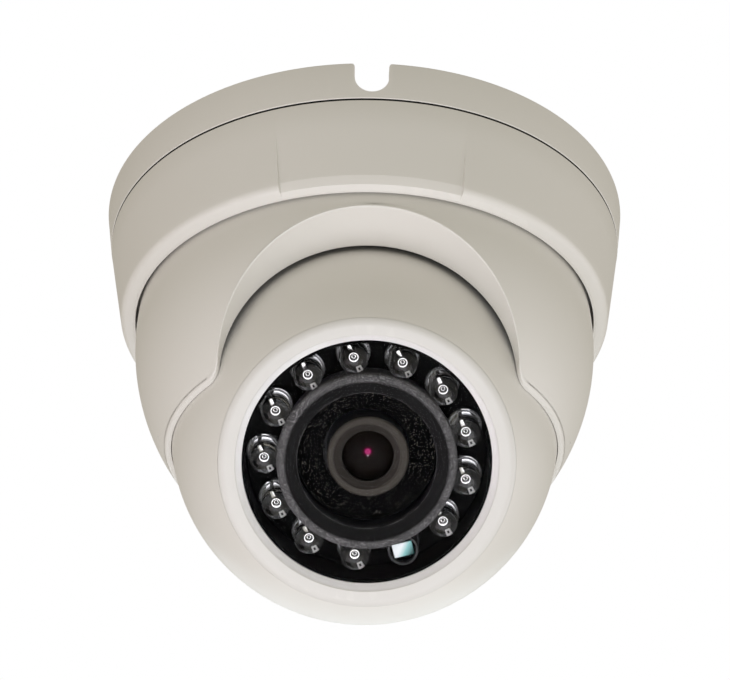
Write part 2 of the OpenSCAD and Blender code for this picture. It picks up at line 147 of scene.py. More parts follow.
def arc(centre: Point, radius: float, start: float, end: float, steps: int) -> list[Point]:
    """Returns points along an arc.

    Args:
        centre: The arc's centre.
        radius: Its radius.
        start: The first angle from the profile's height axis, in radians.
        end: The last angle.
        steps: How many segments it has.

    Returns:
        The arc's points as (distance from the axis, height).
    """
    spans = [start + (end - start) * k / steps for k in range(steps + 1)]
    return [(centre[0] + radius * math.sin(a), centre[1] + radius * math.cos(a)) for a in spans]


def new_object(name: str, mesh: bpy.types.Mesh) -> bpy.types.Object:
    """Links a mesh to the scene as an object."""
    made = bpy.data.objects.new(name, mesh)
    bpy.context.scene.collection.objects.link(made)
    return made


def tidy_mesh(mesh: bpy.types.Mesh, sharp: float | None = None) -> None:
    """Merges doubled points, turns faces outwards and shades them smooth.

    Args:
        mesh: The mesh to finish.
        sharp: Edges that bend more than this angle, in radians, stay sharp.
    """
    work = bmesh.new()
    work.from_mesh(mesh)
    bmesh.ops.remove_doubles(work, verts=work.verts, dist=1e-7)
    bmesh.ops.dissolve_degenerate(work, edges=work.edges, dist=1e-8)
    bmesh.ops.recalc_face_normals(work, faces=work.faces)
    work.to_mesh(mesh)
    work.free()
    mesh.shade_smooth()
    if sharp is not None:
        mesh.set_sharp_from_angle(angle=sharp)


def loft(name: str, columns: Sequence[Sequence[Vector]], closed: bool = True) -> bpy.types.Object:
    """Makes a surface through columns of points that run round an axis.

    Args:
        name: The object's name.
        columns: One list of points for each step round; all have the same length.
        closed: Whether each column's last point joins its first.

    Returns:
        The new object.
    """
    high = len(columns[0])
    points = [p for column in columns for p in column]
    faces = []
    for i in range(len(columns)):
        after = (i + 1) % len(columns)
        for j in range(high if closed else high - 1):
            up = (j + 1) % high
            faces.append((i * high + j, after * high + j, after * high + up, i * high + up))
    mesh = bpy.data.meshes.new(name)
    mesh.from_pydata(points, [], faces)
    tidy_mesh(mesh)
    return new_object(name, mesh)


def lathe(
    name: str,
    profile: Sequence[Point],
    steps: int = 192,
    place: Matrix | None = None,
    closed: bool = True,
    sharp: float | None = None,
) -> bpy.types.Object:
    """Turns a profile round the Z axis.

    Args:
        name: The object's name.
        profile: Points as (distance from the axis, height), in metres.
        steps: Segments in a full turn.
        place: The matrix that puts the result in place, applied to the mesh.
        closed: Whether the profile's last point joins its first.
        sharp: Edges that bend more than this angle, in radians, stay sharp.

    Returns:
        The new object.
    """
    columns = []
    for i in range(steps):
        a = FULL_TURN * i / steps
        columns.append([Vector((r * math.cos(a), r * math.sin(a), h)) for r, h in profile])
    made = loft(name, columns, closed)
    tidy_mesh(made.data, sharp)
    if place is not None:
        made.data.transform(place)
    return made


def prism(
    name: str, outline: Sequence[Point], low: float, high: float, round_edge: float = 0.0
) -> bpy.types.Object:
    """Raises a flat outline into a solid.

    Args:
        name: The object's name.
        outline: The outline's points in X and Y.
        low: The lower height.
        high: The upper height.
        round_edge: Width of the rounding on the solid's edges.

    Returns:
        The new object.
    """
    mesh = bpy.data.meshes.new(name)
    work = bmesh.new()
    base = work.faces.new([work.verts.new((x, y, low)) for x, y in outline])
    raised = bmesh.ops.extrude_face_region(work, geom=[base])["geom"]
    bmesh.ops.translate(
        work, verts=[g for g in raised if isinstance(g, bmesh.types.BMVert)], vec=(0, 0, high - low)
    )
    if round_edge > 0:
        edges = [e for e in work.edges if e.calc_face_angle(0) > math.radians(30)]
        bmesh.ops.bevel(
            work, geom=edges, offset=round_edge, segments=3, affect="EDGES", profile=0.5, clamp_overlap=True
        )
    work.to_mesh(mesh)
    work.free()
    tidy_mesh(mesh, math.radians(35))
    return new_object(name, mesh)


def block(name: str, size: Sequence[float], middle: Sequence[float], round_edge: float) -> bpy.types.Object:
    """Makes a round-edged block from its size and the middle of its volume."""
    x, y, z = (s / 2 for s in size)
    outline = [(-x, -y), (x, -y), (x, y), (-x, y)]
    made = prism(name, outline, -z, z, round_edge)
    made.data.transform(Matrix.Translation(Vector(middle)))
    return made


def joined(name: str, parts: Sequence[bpy.types.Object]) -> bpy.types.Object:
    """Puts several solids into one object, keeping each one's material.

    Args:
        name: The new object's name.
        parts: The objects to join; they are used up.

    Returns:
        The joined object.
    """
    mesh = bpy.data.meshes.new(name)
    work = bmesh.new()
    slots: list[bpy.types.Material] = []
    for part in parts:
        held = list(part.data.materials)
        for material in held:
            if material not in slots:
                slots.append(material)
        first = len(work.faces)
        work.from_mesh(part.data)
        work.faces.ensure_lookup_table()
        for face in work.faces[first:]:
            face.material_index = slots.index(held[face.material_index]) if held else 0
    work.to_mesh(mesh)
    work.free()
    for material in slots:
        mesh.materials.append(material)
    for part in parts:
        old = part.data
        bpy.data.objects.remove(part)
        bpy.data.meshes.remove(old)
    return new_object(name, mesh)


def cut(target: bpy.types.Object, tools: Sequence[bpy.types.Object], action: str = "DIFFERENCE") -> None:
    """Cuts solids out of an object, or adds them to it, and applies the result.

    Args:
        target: The object to change.
        tools: The solids to cut or add; they are used up.
        action: The Boolean operation's name.
    """
    for tool in tools:
        step = target.modifiers.new("shape", "BOOLEAN")
        step.operation = action
        step.solver = "EXACT"
        step.object = tool
    bpy.context.view_layer.update()
    graph = bpy.context.evaluated_depsgraph_get()
    done = bpy.data.meshes.new_from_object(target.evaluated_get(graph))
    target.modifiers.clear()
    old = target.data
    target.data = done
    bpy.data.meshes.remove(old)
    for tool in tools:
        spare = tool.data
        bpy.data.objects.remove(tool)
        bpy.data.meshes.remove(spare)
    tidy_mesh(done, math.radians(28))


def deliver(
    piece: bpy.types.Object, body: Body, material: bpy.types.Material | None, slot: str, *nodes: str
) -> None:
    """Dresses a finished piece, sets what it rides on and what it stands for.

    Args:
        piece: The finished piece.
        body: The body that it moves with.
        material: Its material, or None where its faces hold theirs already.
        slot: The record's material slot; not used.
        nodes: The CAD nodes that it replaces.
    """
    if material is not None:
        piece.data.materials.clear()
        piece.data.materials.append(material)
    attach(piece, body.value)
    if nodes:
        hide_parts(*nodes)
    LOG.info("%s rides on %s", piece.name, body.value)


# ---------------------------------------------------------------- shader groups


def shader_group(
    name: str, inputs: dict[str, float], outputs: Sequence[str]
) -> tuple[bpy.types.NodeTree, object, object]:
    """Starts a shader node group.

    Args:
        name: The group's name.
        inputs: Names and default values of its number inputs.
        outputs: Names of its number outputs.

    Returns:
        The group, its input node and its output node.
    """
    group = bpy.data.node_groups.new(name, "ShaderNodeTree")
    for label, value in inputs.items():
        socket = group.interface.new_socket(label, in_out="INPUT", socket_type="NodeSocketFloat")
        socket.default_value = value
    for label in outputs:
        group.interface.new_socket(label, in_out="OUTPUT", socket_type="NodeSocketFloat")
    return group, group.nodes.new("NodeGroupInput"), group.nodes.new("NodeGroupOutput")


def math_node(
    tree: bpy.types.NodeTree, action: str, a: object, b: object = None, clamp: bool = False
) -> object:
    """Adds a Math node; each operand is a socket or a number. Returns its output socket."""
    node = tree.nodes.new("ShaderNodeMath")
    node.operation = action
    node.use_clamp = clamp
    for i, value in enumerate((a, b)):
        if value is None:
            continue
        if isinstance(value, (int, float)):
            node.inputs[i].default_value = value
        else:
            tree.links.new(value, node.inputs[i])
    return node.outputs[0]


def noise_node(tree: bpy.types.NodeTree, scale: object, detail: float, where: object) -> object:
    """Adds a Noise node; the scale is a socket or a number. Returns its value socket."""
    node = tree.nodes.new("ShaderNodeTexNoise")
    node.inputs["Detail"].default_value = detail
    tree.links.new(where, node.inputs["Vector"])
    if isinstance(scale, (int, float)):
        node.inputs["Scale"].default_value = scale
    else:
        tree.links.new(scale, node.inputs["Scale"])
    return node.outputs[0]


def build_mottle() -> bpy.types.NodeTree:
    """Builds the group that gives broad soft patches and faint handling marks, from 0 to 1."""
    fine_times, marks_from, marks_rise = 7.0, 0.56, 6.0
    group, given, out = shader_group("soft_mottle", {"Scale": 60.0, "Contrast": 1.0}, ("Mask", "Marks"))
    where = group.nodes.new("ShaderNodeTexCoord").outputs["Object"]
    broad = noise_node(group, given.outputs["Scale"], 3.0, where)
    centred = math_node(group, "SUBTRACT", broad, 0.5)
    spread = math_node(group, "MULTIPLY", centred, given.outputs["Contrast"])
    group.links.new(math_node(group, "ADD", spread, 0.5, clamp=True), out.inputs["Mask"])
    fine_scale = math_node(group, "MULTIPLY", given.outputs["Scale"], fine_times)
    streaks = noise_node(group, fine_scale, 5.0, where)
    raised = math_node(group, "SUBTRACT", streaks, marks_from)
    group.links.new(math_node(group, "MULTIPLY", raised, marks_rise, clamp=True), out.inputs["Marks"])
    return group


def build_grain() -> bpy.types.NodeTree:
    """Builds the group that gives the height of a fine moulded or sprayed grain."""
    wide_times = 0.16
    group, given, out = shader_group("fine_grain", {"Scale": 5000.0, "Coarse share": 0.35}, ("Height",))
    where = group.nodes.new("ShaderNodeTexCoord").outputs["Object"]
    fine = noise_node(group, given.outputs["Scale"], 2.0, where)
    wide_scale = math_node(group, "MULTIPLY", given.outputs["Scale"], wide_times)
    wide = noise_node(group, wide_scale, 2.0, where)
    weighted = math_node(group, "MULTIPLY", wide, given.outputs["Coarse share"])
    group.links.new(math_node(group, "ADD", fine, weighted), out.inputs["Height"])
    return group


def build_specks() -> bpy.types.NodeTree:
    """Builds the group that scatters small bright flakes, as a mask, with the cells' height."""
    speck_r = 0.42
    group, given, out = shader_group("scattered_specks", {"Scale": 2600.0, "Share": 0.2}, ("Mask", "Height"))
    where = group.nodes.new("ShaderNodeTexCoord").outputs["Object"]
    cells = group.nodes.new("ShaderNodeTexVoronoi")
    group.links.new(where, cells.inputs["Vector"])
    group.links.new(given.outputs["Scale"], cells.inputs["Scale"])
    tone = group.nodes.new("ShaderNodeSeparateColor")
    group.links.new(cells.outputs["Color"], tone.inputs[0])
    chosen = math_node(group, "LESS_THAN", tone.outputs[0], given.outputs["Share"])
    small = math_node(group, "LESS_THAN", cells.outputs["Distance"], speck_r)
    group.links.new(math_node(group, "MULTIPLY", chosen, small), out.inputs["Mask"])
    group.links.new(cells.outputs["Distance"], out.inputs["Height"])
    return group


def build_reach() -> bpy.types.NodeTree:
    """Builds the group that runs from 0 to 1 between two distances from the optical axis."""
    group, given, out = shader_group("axis_reach", {"From": 0.013, "To": 0.014}, ("Mask",))
    where = group.nodes.new("ShaderNodeTexCoord").outputs["Object"]
    away = group.nodes.new("ShaderNodeVectorMath")
    away.operation = "SUBTRACT"
    group.links.new(where, away.inputs[0])
    away.inputs[1].default_value = EYE.centre
    aside = group.nodes.new("ShaderNodeVectorMath")
    aside.operation = "CROSS_PRODUCT"
    group.links.new(away.outputs[0], aside.inputs[0])
    aside.inputs[1].default_value = EYE.forward
    length = group.nodes.new("ShaderNodeVectorMath")
    length.operation = "LENGTH"
    group.links.new(aside.outputs[0], length.inputs[0])
    start = math_node(group, "SUBTRACT", length.outputs["Value"], given.outputs["From"])
    span = math_node(group, "SUBTRACT", given.outputs["To"], given.outputs["From"])
    group.links.new(math_node(group, "DIVIDE", start, span, clamp=True), out.inputs["Mask"])
    return group


def build_wear_and_highlight() -> bpy.types.NodeTree:
    """Builds the group that finds convex edges, broken up by noise, as a mask from 0 to 1; the shells lighten
    these edges both as wear and as a painted highlight.
    """
    edge_from, edge_rise, break_scale = 0.52, 14.0, 900.0
    group, given, out = shader_group("edge_wear_and_highlight", {"Strength": 1.0}, ("Mask",))
    bend = group.nodes.new("ShaderNodeNewGeometry").outputs["Pointiness"]
    lifted = math_node(group, "SUBTRACT", bend, edge_from)
    edge = math_node(group, "MULTIPLY", lifted, edge_rise, clamp=True)
    where = group.nodes.new("ShaderNodeTexCoord").outputs["Object"]
    broken = noise_node(group, break_scale, 4.0, where)
    masked = math_node(group, "MULTIPLY", edge, broken)
    wear_and_highlight = math_node(group, "MULTIPLY", masked, given.outputs["Strength"], clamp=True)
    group.links.new(wear_and_highlight, out.inputs["Mask"])
    return group


@dataclass(frozen=True)
class Effects:
    """The shader groups that materials share."""

    mottle: bpy.types.NodeTree = field(default_factory=build_mottle)
    grain: bpy.types.NodeTree = field(default_factory=build_grain)
    specks: bpy.types.NodeTree = field(default_factory=build_specks)
    wear_and_highlight: bpy.types.NodeTree = field(default_factory=build_wear_and_highlight)
    reach: bpy.types.NodeTree = field(default_factory=build_reach)


EFFECTS = Effects()


# ---------------------------------------------------------------- finishes


class Shader:
    """One material's node tree, with short calls for what materials have in common."""

    def __init__(self, name: str) -> None:
        """Starts a material that holds one Principled shader."""
        self.material = bpy.data.materials.new(name)
        self.material.use_nodes = True
        self.tree = self.material.node_tree
        self.principled = self.tree.nodes["Principled BSDF"]
        self.output = self.tree.nodes["Material Output"]

    def set(self, **values: float | Colour) -> None:
        """Sets sockets by name; an underscore stands for a space."""
        for label, value in values.items():
            socket = self.principled.inputs[label.replace("_", " ")]
            socket.default_value = (*value, 1.0) if isinstance(value, tuple) else value

    def link(self, source: object, label: str) -> None:
        """Links a socket to one of the shader's inputs."""
        self.tree.links.new(source, self.principled.inputs[label])

    def effect(self, group: bpy.types.NodeTree, **values: float) -> object:
        """Places a shared group with its own values. Returns the group's node."""
        node = self.tree.nodes.new("ShaderNodeGroup")
        node.node_tree = group
        for label, value in values.items():
            node.inputs[label.replace("_", " ")].default_value = value
        return node

    def mix(self, factor: object, a: object, b: object) -> object:
        """Mixes two colours, each a socket or a colour. Returns the colour socket."""
        node = self.tree.nodes.new("ShaderNodeMix")
        node.data_type = "RGBA"
        self.tree.links.new(factor, node.inputs[0])
        for i, value in ((6, a), (7, b)):
            if isinstance(value, tuple):
                node.inputs[i].default_value = (*value, 1.0)
            else:
                self.tree.links.new(value, node.inputs[i])
        return node.outputs[2]

    def span(self, source: object, low: float, high: float) -> object:
        """Stretches a 0 to 1 value to lie between two numbers. Returns the socket."""
        node = self.tree.nodes.new("ShaderNodeMapRange")
        node.inputs["To Min"].default_value = low
        node.inputs["To Max"].default_value = high
        self.tree.links.new(source, node.inputs["Value"])
        return node.outputs["Result"]

    def bump(self, height: object, distance: float, strength: float = 1.0) -> None:
        """Feeds a height to the shader's normal."""
        node = self.tree.nodes.new("ShaderNodeBump")
        node.inputs["Distance"].default_value = distance
        node.inputs["Strength"].default_value = strength
        self.tree.links.new(height, node.inputs["Height"])
        self.link(node.outputs["Normal"], "Normal")

    def pass_lamps(self) -> None:
        """Lets rays from lamps through, so that what is behind the glass is lit."""
        path = self.tree.nodes.new("ShaderNodeLightPath")
        clear = self.tree.nodes.new("ShaderNodeBsdfTransparent")
        blend = self.tree.nodes.new("ShaderNodeMixShader")
        self.tree.links.new(path.outputs["Is Shadow Ray"], blend.inputs[0])
        self.tree.links.new(self.principled.outputs[0], blend.inputs[1])
        self.tree.links.new(clear.outputs[0], blend.inputs[2])
        self.tree.links.new(blend.outputs[0], self.output.inputs["Surface"])


@dataclass(frozen=True)
class SatinShell:
    """Moulded or sprayed shell finish: two near tones, a fine grain and softly worn edges, lightened both as
    wear and as a painted highlight.
    """

    name: str
    tone: Colour
    shade: Colour
    roughness: float = 0.42
    grain_scale: float = 4200.0
    grain_depth: float = 0.000012
    mottle_scale: float = 28.0
    coat: float = 0.0

    def material(self) -> bpy.types.Material:
        """Returns the finish as a material."""
        shader = Shader(self.name)
        patches = shader.effect(EFFECTS.mottle, Scale=self.mottle_scale, Contrast=1.6)
        base = shader.mix(patches.outputs["Mask"], self.shade, self.tone)
        wear_and_highlight = shader.effect(EFFECTS.wear_and_highlight, Strength=0.5)
        # Convex edges are lightened, partly as wear and partly as a painted highlight on rounded edges.
        lighter = tuple(min(1.0, c * 1.08 + 0.01) for c in self.tone)
        shader.link(shader.mix(wear_and_highlight.outputs["Mask"], base, lighter), "Base Color")
        low, high = self.roughness - 0.03, self.roughness + 0.05
        shader.link(shader.span(patches.outputs["Marks"], low, high), "Roughness")
        grain = shader.effect(EFFECTS.grain, Scale=self.grain_scale, Coarse_share=0.4)
        shader.bump(grain.outputs["Height"], self.grain_depth)
        shader.set(Coat_Weight=self.coat, Coat_Roughness=0.2)
        return shader.material


@dataclass(frozen=True)
class Rubber:
    """Black moulded rubber with a visible grain and dusty high spots."""

    name: str
    tone: Colour = (0.012, 0.012, 0.013)
    dust: Colour = (0.10, 0.10, 0.105)
    roughness: float = 0.5
    grain_scale: float = 5200.0
    grain_depth: float = 0.00004
    dust_share: float = 0.3

    def material(self) -> bpy.types.Material:
        """Returns the finish as a material."""
        shader = Shader(self.name)
        grain = shader.effect(EFFECTS.grain, Scale=self.grain_scale, Coarse_share=0.5)
        specks = shader.effect(EFFECTS.specks, Scale=self.grain_scale * 1.3, Share=self.dust_share)
        shader.link(shader.mix(specks.outputs["Mask"], self.tone, self.dust), "Base Color")
        patches = shader.effect(EFFECTS.mottle, Scale=120.0, Contrast=1.5)
        low, high = self.roughness - 0.08, self.roughness + 0.12
        shader.link(shader.span(patches.outputs["Mask"], low, high), "Roughness")
        shader.bump(grain.outputs["Height"], self.grain_depth)
        return shader.material


@dataclass(frozen=True)
class TwoToneRing:
    """Dark turned ring: smooth inside one radius, paler and rougher outside it, with a painted highlight in
    broken patches along its inner edge.
    """

    name: str
    outside: Colour = (0.06, 0.059, 0.0595)
    inside: Colour = (0.0055, 0.0053, 0.0055)
    dust: Colour = (0.38, 0.375, 0.375)
    dust_share: float = 0.32
    radii: tuple[float, float] = (0.0138, 0.0143)
    edge_highlight_radii: tuple[float, float] = (0.01205, 0.01195)
    edge_highlight_tone: Colour = (0.10, 0.10, 0.10)
    grain_depth: float = 0.00005
    shine: float = 0.07

    def material(self) -> bpy.types.Material:
        """Returns the finish as a material."""
        shader = Shader(self.name)
        place = shader.effect(EFFECTS.reach, From=self.radii[0], To=self.radii[1])
        # A thin band at the inner edge is lightened in patches as a painted highlight.
        rim = shader.effect(EFFECTS.reach, From=self.edge_highlight_radii[0], To=self.edge_highlight_radii[1])
        grain = shader.effect(EFFECTS.grain, Scale=4600.0, Coarse_share=0.5)
        specks = shader.effect(EFFECTS.specks, Scale=7500.0, Share=self.dust_share)
        patches = shader.effect(EFFECTS.mottle, Scale=500.0, Contrast=4.0)
        # Outside the radius the tone is paler and speckled with dust; on the hood this is also a painted
        # highlight along its shoulder.
        dust_and_sheen = shader.mix(specks.outputs["Mask"], self.outside, self.dust)
        broken = math_node(shader.tree, "MULTIPLY", rim.outputs["Mask"], patches.outputs["Mask"])
        inner = shader.mix(broken, self.inside, self.edge_highlight_tone)
        shader.link(shader.mix(place.outputs["Mask"], inner, dust_and_sheen), "Base Color")
        shader.link(shader.span(place.outputs["Mask"], 0.42, 0.6), "Roughness")
        shader.bump(grain.outputs["Height"], self.grain_depth)
        shader.set(Specular_IOR_Level=self.shine)
        return shader.material


@dataclass(frozen=True)
class SpeckledTrap:
    """Rough black flocked lining that glitters with small bright flakes."""

    name: str
    tone: Colour = (0.0006, 0.0006, 0.0006)
    flake: Colour = (0.62, 0.59, 0.50)
    scale: float = 6400.0
    share: float = 0.06

    def material(self) -> bpy.types.Material:
        """Returns the finish as a material."""
        shader = Shader(self.name)
        specks = shader.effect(EFFECTS.specks, Scale=self.scale, Share=self.share)
        patches = shader.effect(EFFECTS.mottle, Scale=300.0, Contrast=2.0)
        lit = math_node(shader.tree, "MULTIPLY", specks.outputs["Mask"], patches.outputs["Mask"])
        shader.link(shader.mix(lit, self.tone, self.flake), "Base Color")
        shader.link(shader.span(specks.outputs["Mask"], 0.75, 0.3), "Roughness")
        shader.bump(specks.outputs["Height"], 0.00012)
        shader.set(Specular_IOR_Level=0.05)
        return shader.material


@dataclass(frozen=True)
class SmoothPlastic:
    """Smooth moulded plastic with faint marks and a light coat."""

    name: str
    tone: Colour
    roughness: float = 0.25
    coat: float = 0.3
    grain_depth: float = 0.000004
    shine: float = 0.5

    def material(self) -> bpy.types.Material:
        """Returns the finish as a material."""
        shader = Shader(self.name)
        patches = shader.effect(EFFECTS.mottle, Scale=90.0, Contrast=1.2)
        darker = tuple(c * 0.82 for c in self.tone)
        shader.link(shader.mix(patches.outputs["Mask"], darker, self.tone), "Base Color")
        low, high = self.roughness, self.roughness + 0.12
        shader.link(shader.span(patches.outputs["Marks"], low, high), "Roughness")
        grain = shader.effect(EFFECTS.grain, Scale=3600.0, Coarse_share=0.5)
        shader.bump(grain.outputs["Height"], self.grain_depth)
        shader.set(Coat_Weight=self.coat, Coat_Roughness=0.12, Specular_IOR_Level=self.shine)
        return shader.material


@dataclass(frozen=True)
class Metal:
    """Plain, plated or anodised metal with a fine grain."""

    name: str
    tone: Colour
    roughness: float = 0.3
    grain_depth: float = 0.000006

    def material(self) -> bpy.types.Material:
        """Returns the finish as a material."""
        shader = Shader(self.name)
        patches = shader.effect(EFFECTS.mottle, Scale=400.0, Contrast=1.4)
        darker = tuple(c * 0.72 for c in self.tone)
        shader.link(shader.mix(patches.outputs["Mask"], darker, self.tone), "Base Color")
        low, high = self.roughness - 0.06, self.roughness + 0.14
        shader.link(shader.span(patches.outputs["Marks"], low, high), "Roughness")
        grain = shader.effect(EFFECTS.grain, Scale=5200.0, Coarse_share=0.6)
        shader.bump(grain.outputs["Height"], self.grain_depth)
        shader.set(Metallic=1.0)
        return shader.material


@dataclass(frozen=True)
class ClearBody:
    """Clear glass or clear moulded resin that lets the lamps' rays through."""

    name: str
    tint: Colour = (1.0, 1.0, 1.0)
    bend: float = 1.45
    roughness: float = 0.01
    ripple: float = 0.0

    def material(self) -> bpy.types.Material:
        """Returns the finish as a material."""
        shader = Shader(self.name)
        shader.set(Transmission_Weight=1.0, IOR=self.bend)
        patches = shader.effect(EFFECTS.mottle, Scale=150.0, Contrast=1.0)
        paler = tuple(c * 0.985 for c in self.tint)
        shader.link(shader.mix(patches.outputs["Mask"], paler, self.tint), "Base Color")
        low, high = self.roughness, self.roughness + 0.02
        shader.link(shader.span(patches.outputs["Marks"], low, high), "Roughness")
        if self.ripple > 0:
            grain = shader.effect(EFFECTS.grain, Scale=700.0, Coarse_share=0.8)
            shader.bump(grain.outputs["Height"], self.ripple)
        shader.pass_lamps()
        return shader.material


@dataclass(frozen=True)
class CircuitBoard:
    """Solder mask over copper tracks, with a faint weave."""

    name: str
    mask: Colour = (0.006, 0.03, 0.014)
    track: Colour = (0.012, 0.06, 0.028)

    def material(self) -> bpy.types.Material:
        """Returns the finish as a material."""
        shader = Shader(self.name)
        where = shader.tree.nodes.new("ShaderNodeTexCoord").outputs["Object"]
        tracks = shader.tree.nodes.new("ShaderNodeTexBrick")
        tracks.inputs["Scale"].default_value = 420.0
        tracks.inputs["Mortar Size"].default_value = 0.03
        shader.tree.links.new(where, tracks.inputs["Vector"])
        shader.link(shader.mix(tracks.outputs["Fac"], self.mask, self.track), "Base Color")
        grain = shader.effect(EFFECTS.grain, Scale=2600.0, Coarse_share=0.3)
        shader.bump(grain.outputs["Height"], 0.000008)
        shader.link(shader.span(grain.outputs["Height"], 0.25, 0.4), "Roughness")
        shader.set(Coat_Weight=0.4, Coat_Roughness=0.15)
        return shader.material


@dataclass(frozen=True)
class SensorFace:
    """Glossy filter over the light sensor, which runs from white through teal to deep green."""

    name: str
    place: Matrix
    half: float = 0.0018
    pale: Colour = (0.86, 0.93, 0.93)
    teal: Colour = (0.20, 0.52, 0.50)
    deep: Colour = (0.01, 0.06, 0.055)

    def material(self) -> bpy.types.Material:
        """Returns the finish as a material."""
        shader = Shader(self.name)
        where = shader.tree.nodes.new("ShaderNodeTexCoord").outputs["Object"]
        along = shader.tree.nodes.new("ShaderNodeVectorMath")
        along.operation = "DOT_PRODUCT"
        shader.tree.links.new(where, along.inputs[0])
        side = (self.place.to_3x3() @ Vector((0.9, -0.35, 0))).normalized()
        along.inputs[1].default_value = side
        middle = side.dot(self.place.to_translation())
        start = math_node(shader.tree, "SUBTRACT", along.outputs["Value"], middle - self.half)
        share = math_node(shader.tree, "DIVIDE", start, 2 * self.half, clamp=True)
        ramp = shader.tree.nodes.new("ShaderNodeValToRGB")
        shader.tree.links.new(share, ramp.inputs[0])
        stops = ramp.color_ramp.elements
        stops[0].position, stops[0].color = 0.38, (*self.pale, 1.0)
        stops[1].position, stops[1].color = 0.95, (*self.deep, 1.0)
        stops.new(0.66).color = (*self.teal, 1.0)
        shader.link(ramp.outputs[0], "Base Color")
        patches = shader.effect(EFFECTS.mottle, Scale=600.0, Contrast=1.0)
        shader.link(shader.span(patches.outputs["Marks"], 0.12, 0.2), "Roughness")
        return shader.material


@dataclass(frozen=True)
class CoatedLens:
    """Dark coated lens glass: a deep body with a rosy spot behind it and a small white glint."""

    name: str
    core: Colour = (0.06, 0.005, 0.025)
    middle: Colour = (0.42, 0.03, 0.15)
    fringe: Colour = (0.04, 0.003, 0.014)
    body: Colour = (0.0026, 0.0014, 0.0009)
    edge: Colour = (0.0018, 0.0011, 0.0007)
    glint: Colour = (0.8, 0.8, 0.78)
    glint_r: float = 0.00011
    centre: Vector = field(default_factory=Vector)
    glint_centre: Vector = field(default_factory=Vector)
    reach: float = 0.004

    def away(self, shader: Shader, spot: Vector) -> object:
        """Returns the socket that gives the distance from a spot on the glass."""
        where = shader.tree.nodes.new("ShaderNodeTexCoord").outputs["Object"]
        node = shader.tree.nodes.new("ShaderNodeVectorMath")
        node.operation = "DISTANCE"
        shader.tree.links.new(where, node.inputs[0])
        node.inputs[1].default_value = spot
        return node.outputs["Value"]

    def material(self) -> bpy.types.Material:
        """Returns the finish as a material."""
        shader = Shader(self.name)
        share = math_node(shader.tree, "DIVIDE", self.away(shader, self.centre), self.reach)
        ramp = shader.tree.nodes.new("ShaderNodeValToRGB")
        shader.tree.links.new(share, ramp.inputs[0])
        stops = ramp.color_ramp.elements
        stops[0].position, stops[0].color = 0.0, (*self.core, 1.0)
        stops[1].position, stops[1].color = 1.0, (*self.edge, 1.0)
        rings = ((0.03, self.middle), (0.075, self.middle), (0.12, self.fringe), (0.2, self.body))
        for position, colour in rings:
            stop = stops.new(position)
            stop.color = (*colour, 1.0)
        spot = math_node(shader.tree, "LESS_THAN", self.away(shader, self.glint_centre), self.glint_r)
        shader.link(shader.mix(spot, ramp.outputs[0], self.glint), "Base Color")
        patches = shader.effect(EFFECTS.mottle, Scale=300.0, Contrast=1.0)
        shader.link(shader.span(patches.outputs["Marks"], 0.03, 0.06), "Roughness")
        shader.set(Specular_IOR_Level=0.03)
        return shader.material


SHELL_WHITE = SatinShell("shell_white", (0.80, 0.785, 0.74), (0.775, 0.76, 0.715))
BEZEL_WHITE = SatinShell(
    "bezel_white", (0.775, 0.768, 0.738), (0.755, 0.748, 0.718), roughness=0.4, grain_depth=0.00002
)
INNER_WHITE = SatinShell("inner_white", (0.72, 0.715, 0.68), (0.68, 0.67, 0.63), roughness=0.55)
# The hood's paler, speckled outside is partly its rougher, dusty rubber and partly a painted highlight along
# its shoulder.
HOOD_RUBBER = TwoToneRing("hood_rubber")
SEAL_RUBBER_AND_SEAM_SHADE = Rubber("seal_rubber_and_seam_shade", dust_share=0.1, grain_depth=0.00002)
GLAND_RUBBER = Rubber("gland_rubber", dust_share=0.12)
LINING = SpeckledTrap("speckled_lining")
MASK_BLACK = SmoothPlastic("mask_black", (0.0009, 0.0009, 0.0009), roughness=0.4, coat=0.0, shine=0.025)
FRAME_BLACK_AND_BOWL_SHADE = SmoothPlastic(
    "frame_black_and_bowl_shade", (0.02, 0.02, 0.022), roughness=0.35, coat=0.0, grain_depth=0.00001
)
CHIP_BLACK = SmoothPlastic("chip_black", (0.015, 0.015, 0.016), roughness=0.45, coat=0.0)
WORKS_BLACK = SmoothPlastic("works_black", (0.025, 0.025, 0.027), 0.38, 0.0, 0.00001)
PROCESSOR_BLACK = SmoothPlastic("processor_black", (0.02, 0.02, 0.021), 0.5, 0.0)
WASHER_GREY = SmoothPlastic("washer_grey", (0.20, 0.20, 0.20), 0.4, 0.0)
HEADER_IVORY = SmoothPlastic("header_ivory", (0.72, 0.68, 0.55), roughness=0.4, coat=0.0)
SENSOR_CHIP = SmoothPlastic("sensor_chip", (0.05, 0.06, 0.09), roughness=0.1, coat=0.8)
STEEL = Metal("screw_steel", (0.60, 0.60, 0.61), 0.28)
LEADFRAME = Metal("leadframe_silver", (0.90, 0.89, 0.87), 0.16, grain_depth=0.000002)
POST_PLATING = SmoothPlastic("post_plating", (0.88, 0.88, 0.86), roughness=0.4, coat=0.0)
HEAT_METAL = Metal("heat_sink_metal", (0.62, 0.63, 0.64), 0.38)
LENS_METAL = TwoToneRing(
    "lens_ring_satin",
    outside=(0.049, 0.044, 0.037),
    inside=(0.021, 0.018, 0.015),
    dust=(0.060, 0.054, 0.046),
    dust_share=0.1,
    radii=(0.00572, 0.0058),
    edge_highlight_radii=(0.0001, 0.0),
    grain_depth=0.000006,
    shine=0.1,
)
COPPER = Metal("copper_winding", (0.62, 0.28, 0.13), 0.3)
WINDOW = ClearBody("window_clear", bend=1.06, roughness=0.0)
RESIN = ClearBody("lamp_resin", tint=(0.985, 0.99, 0.99), bend=1.42, roughness=0.012, ripple=0.000002)
REAR_LENS = ClearBody("rear_lens_glass", tint=(0.85, 0.92, 0.9), bend=1.5)
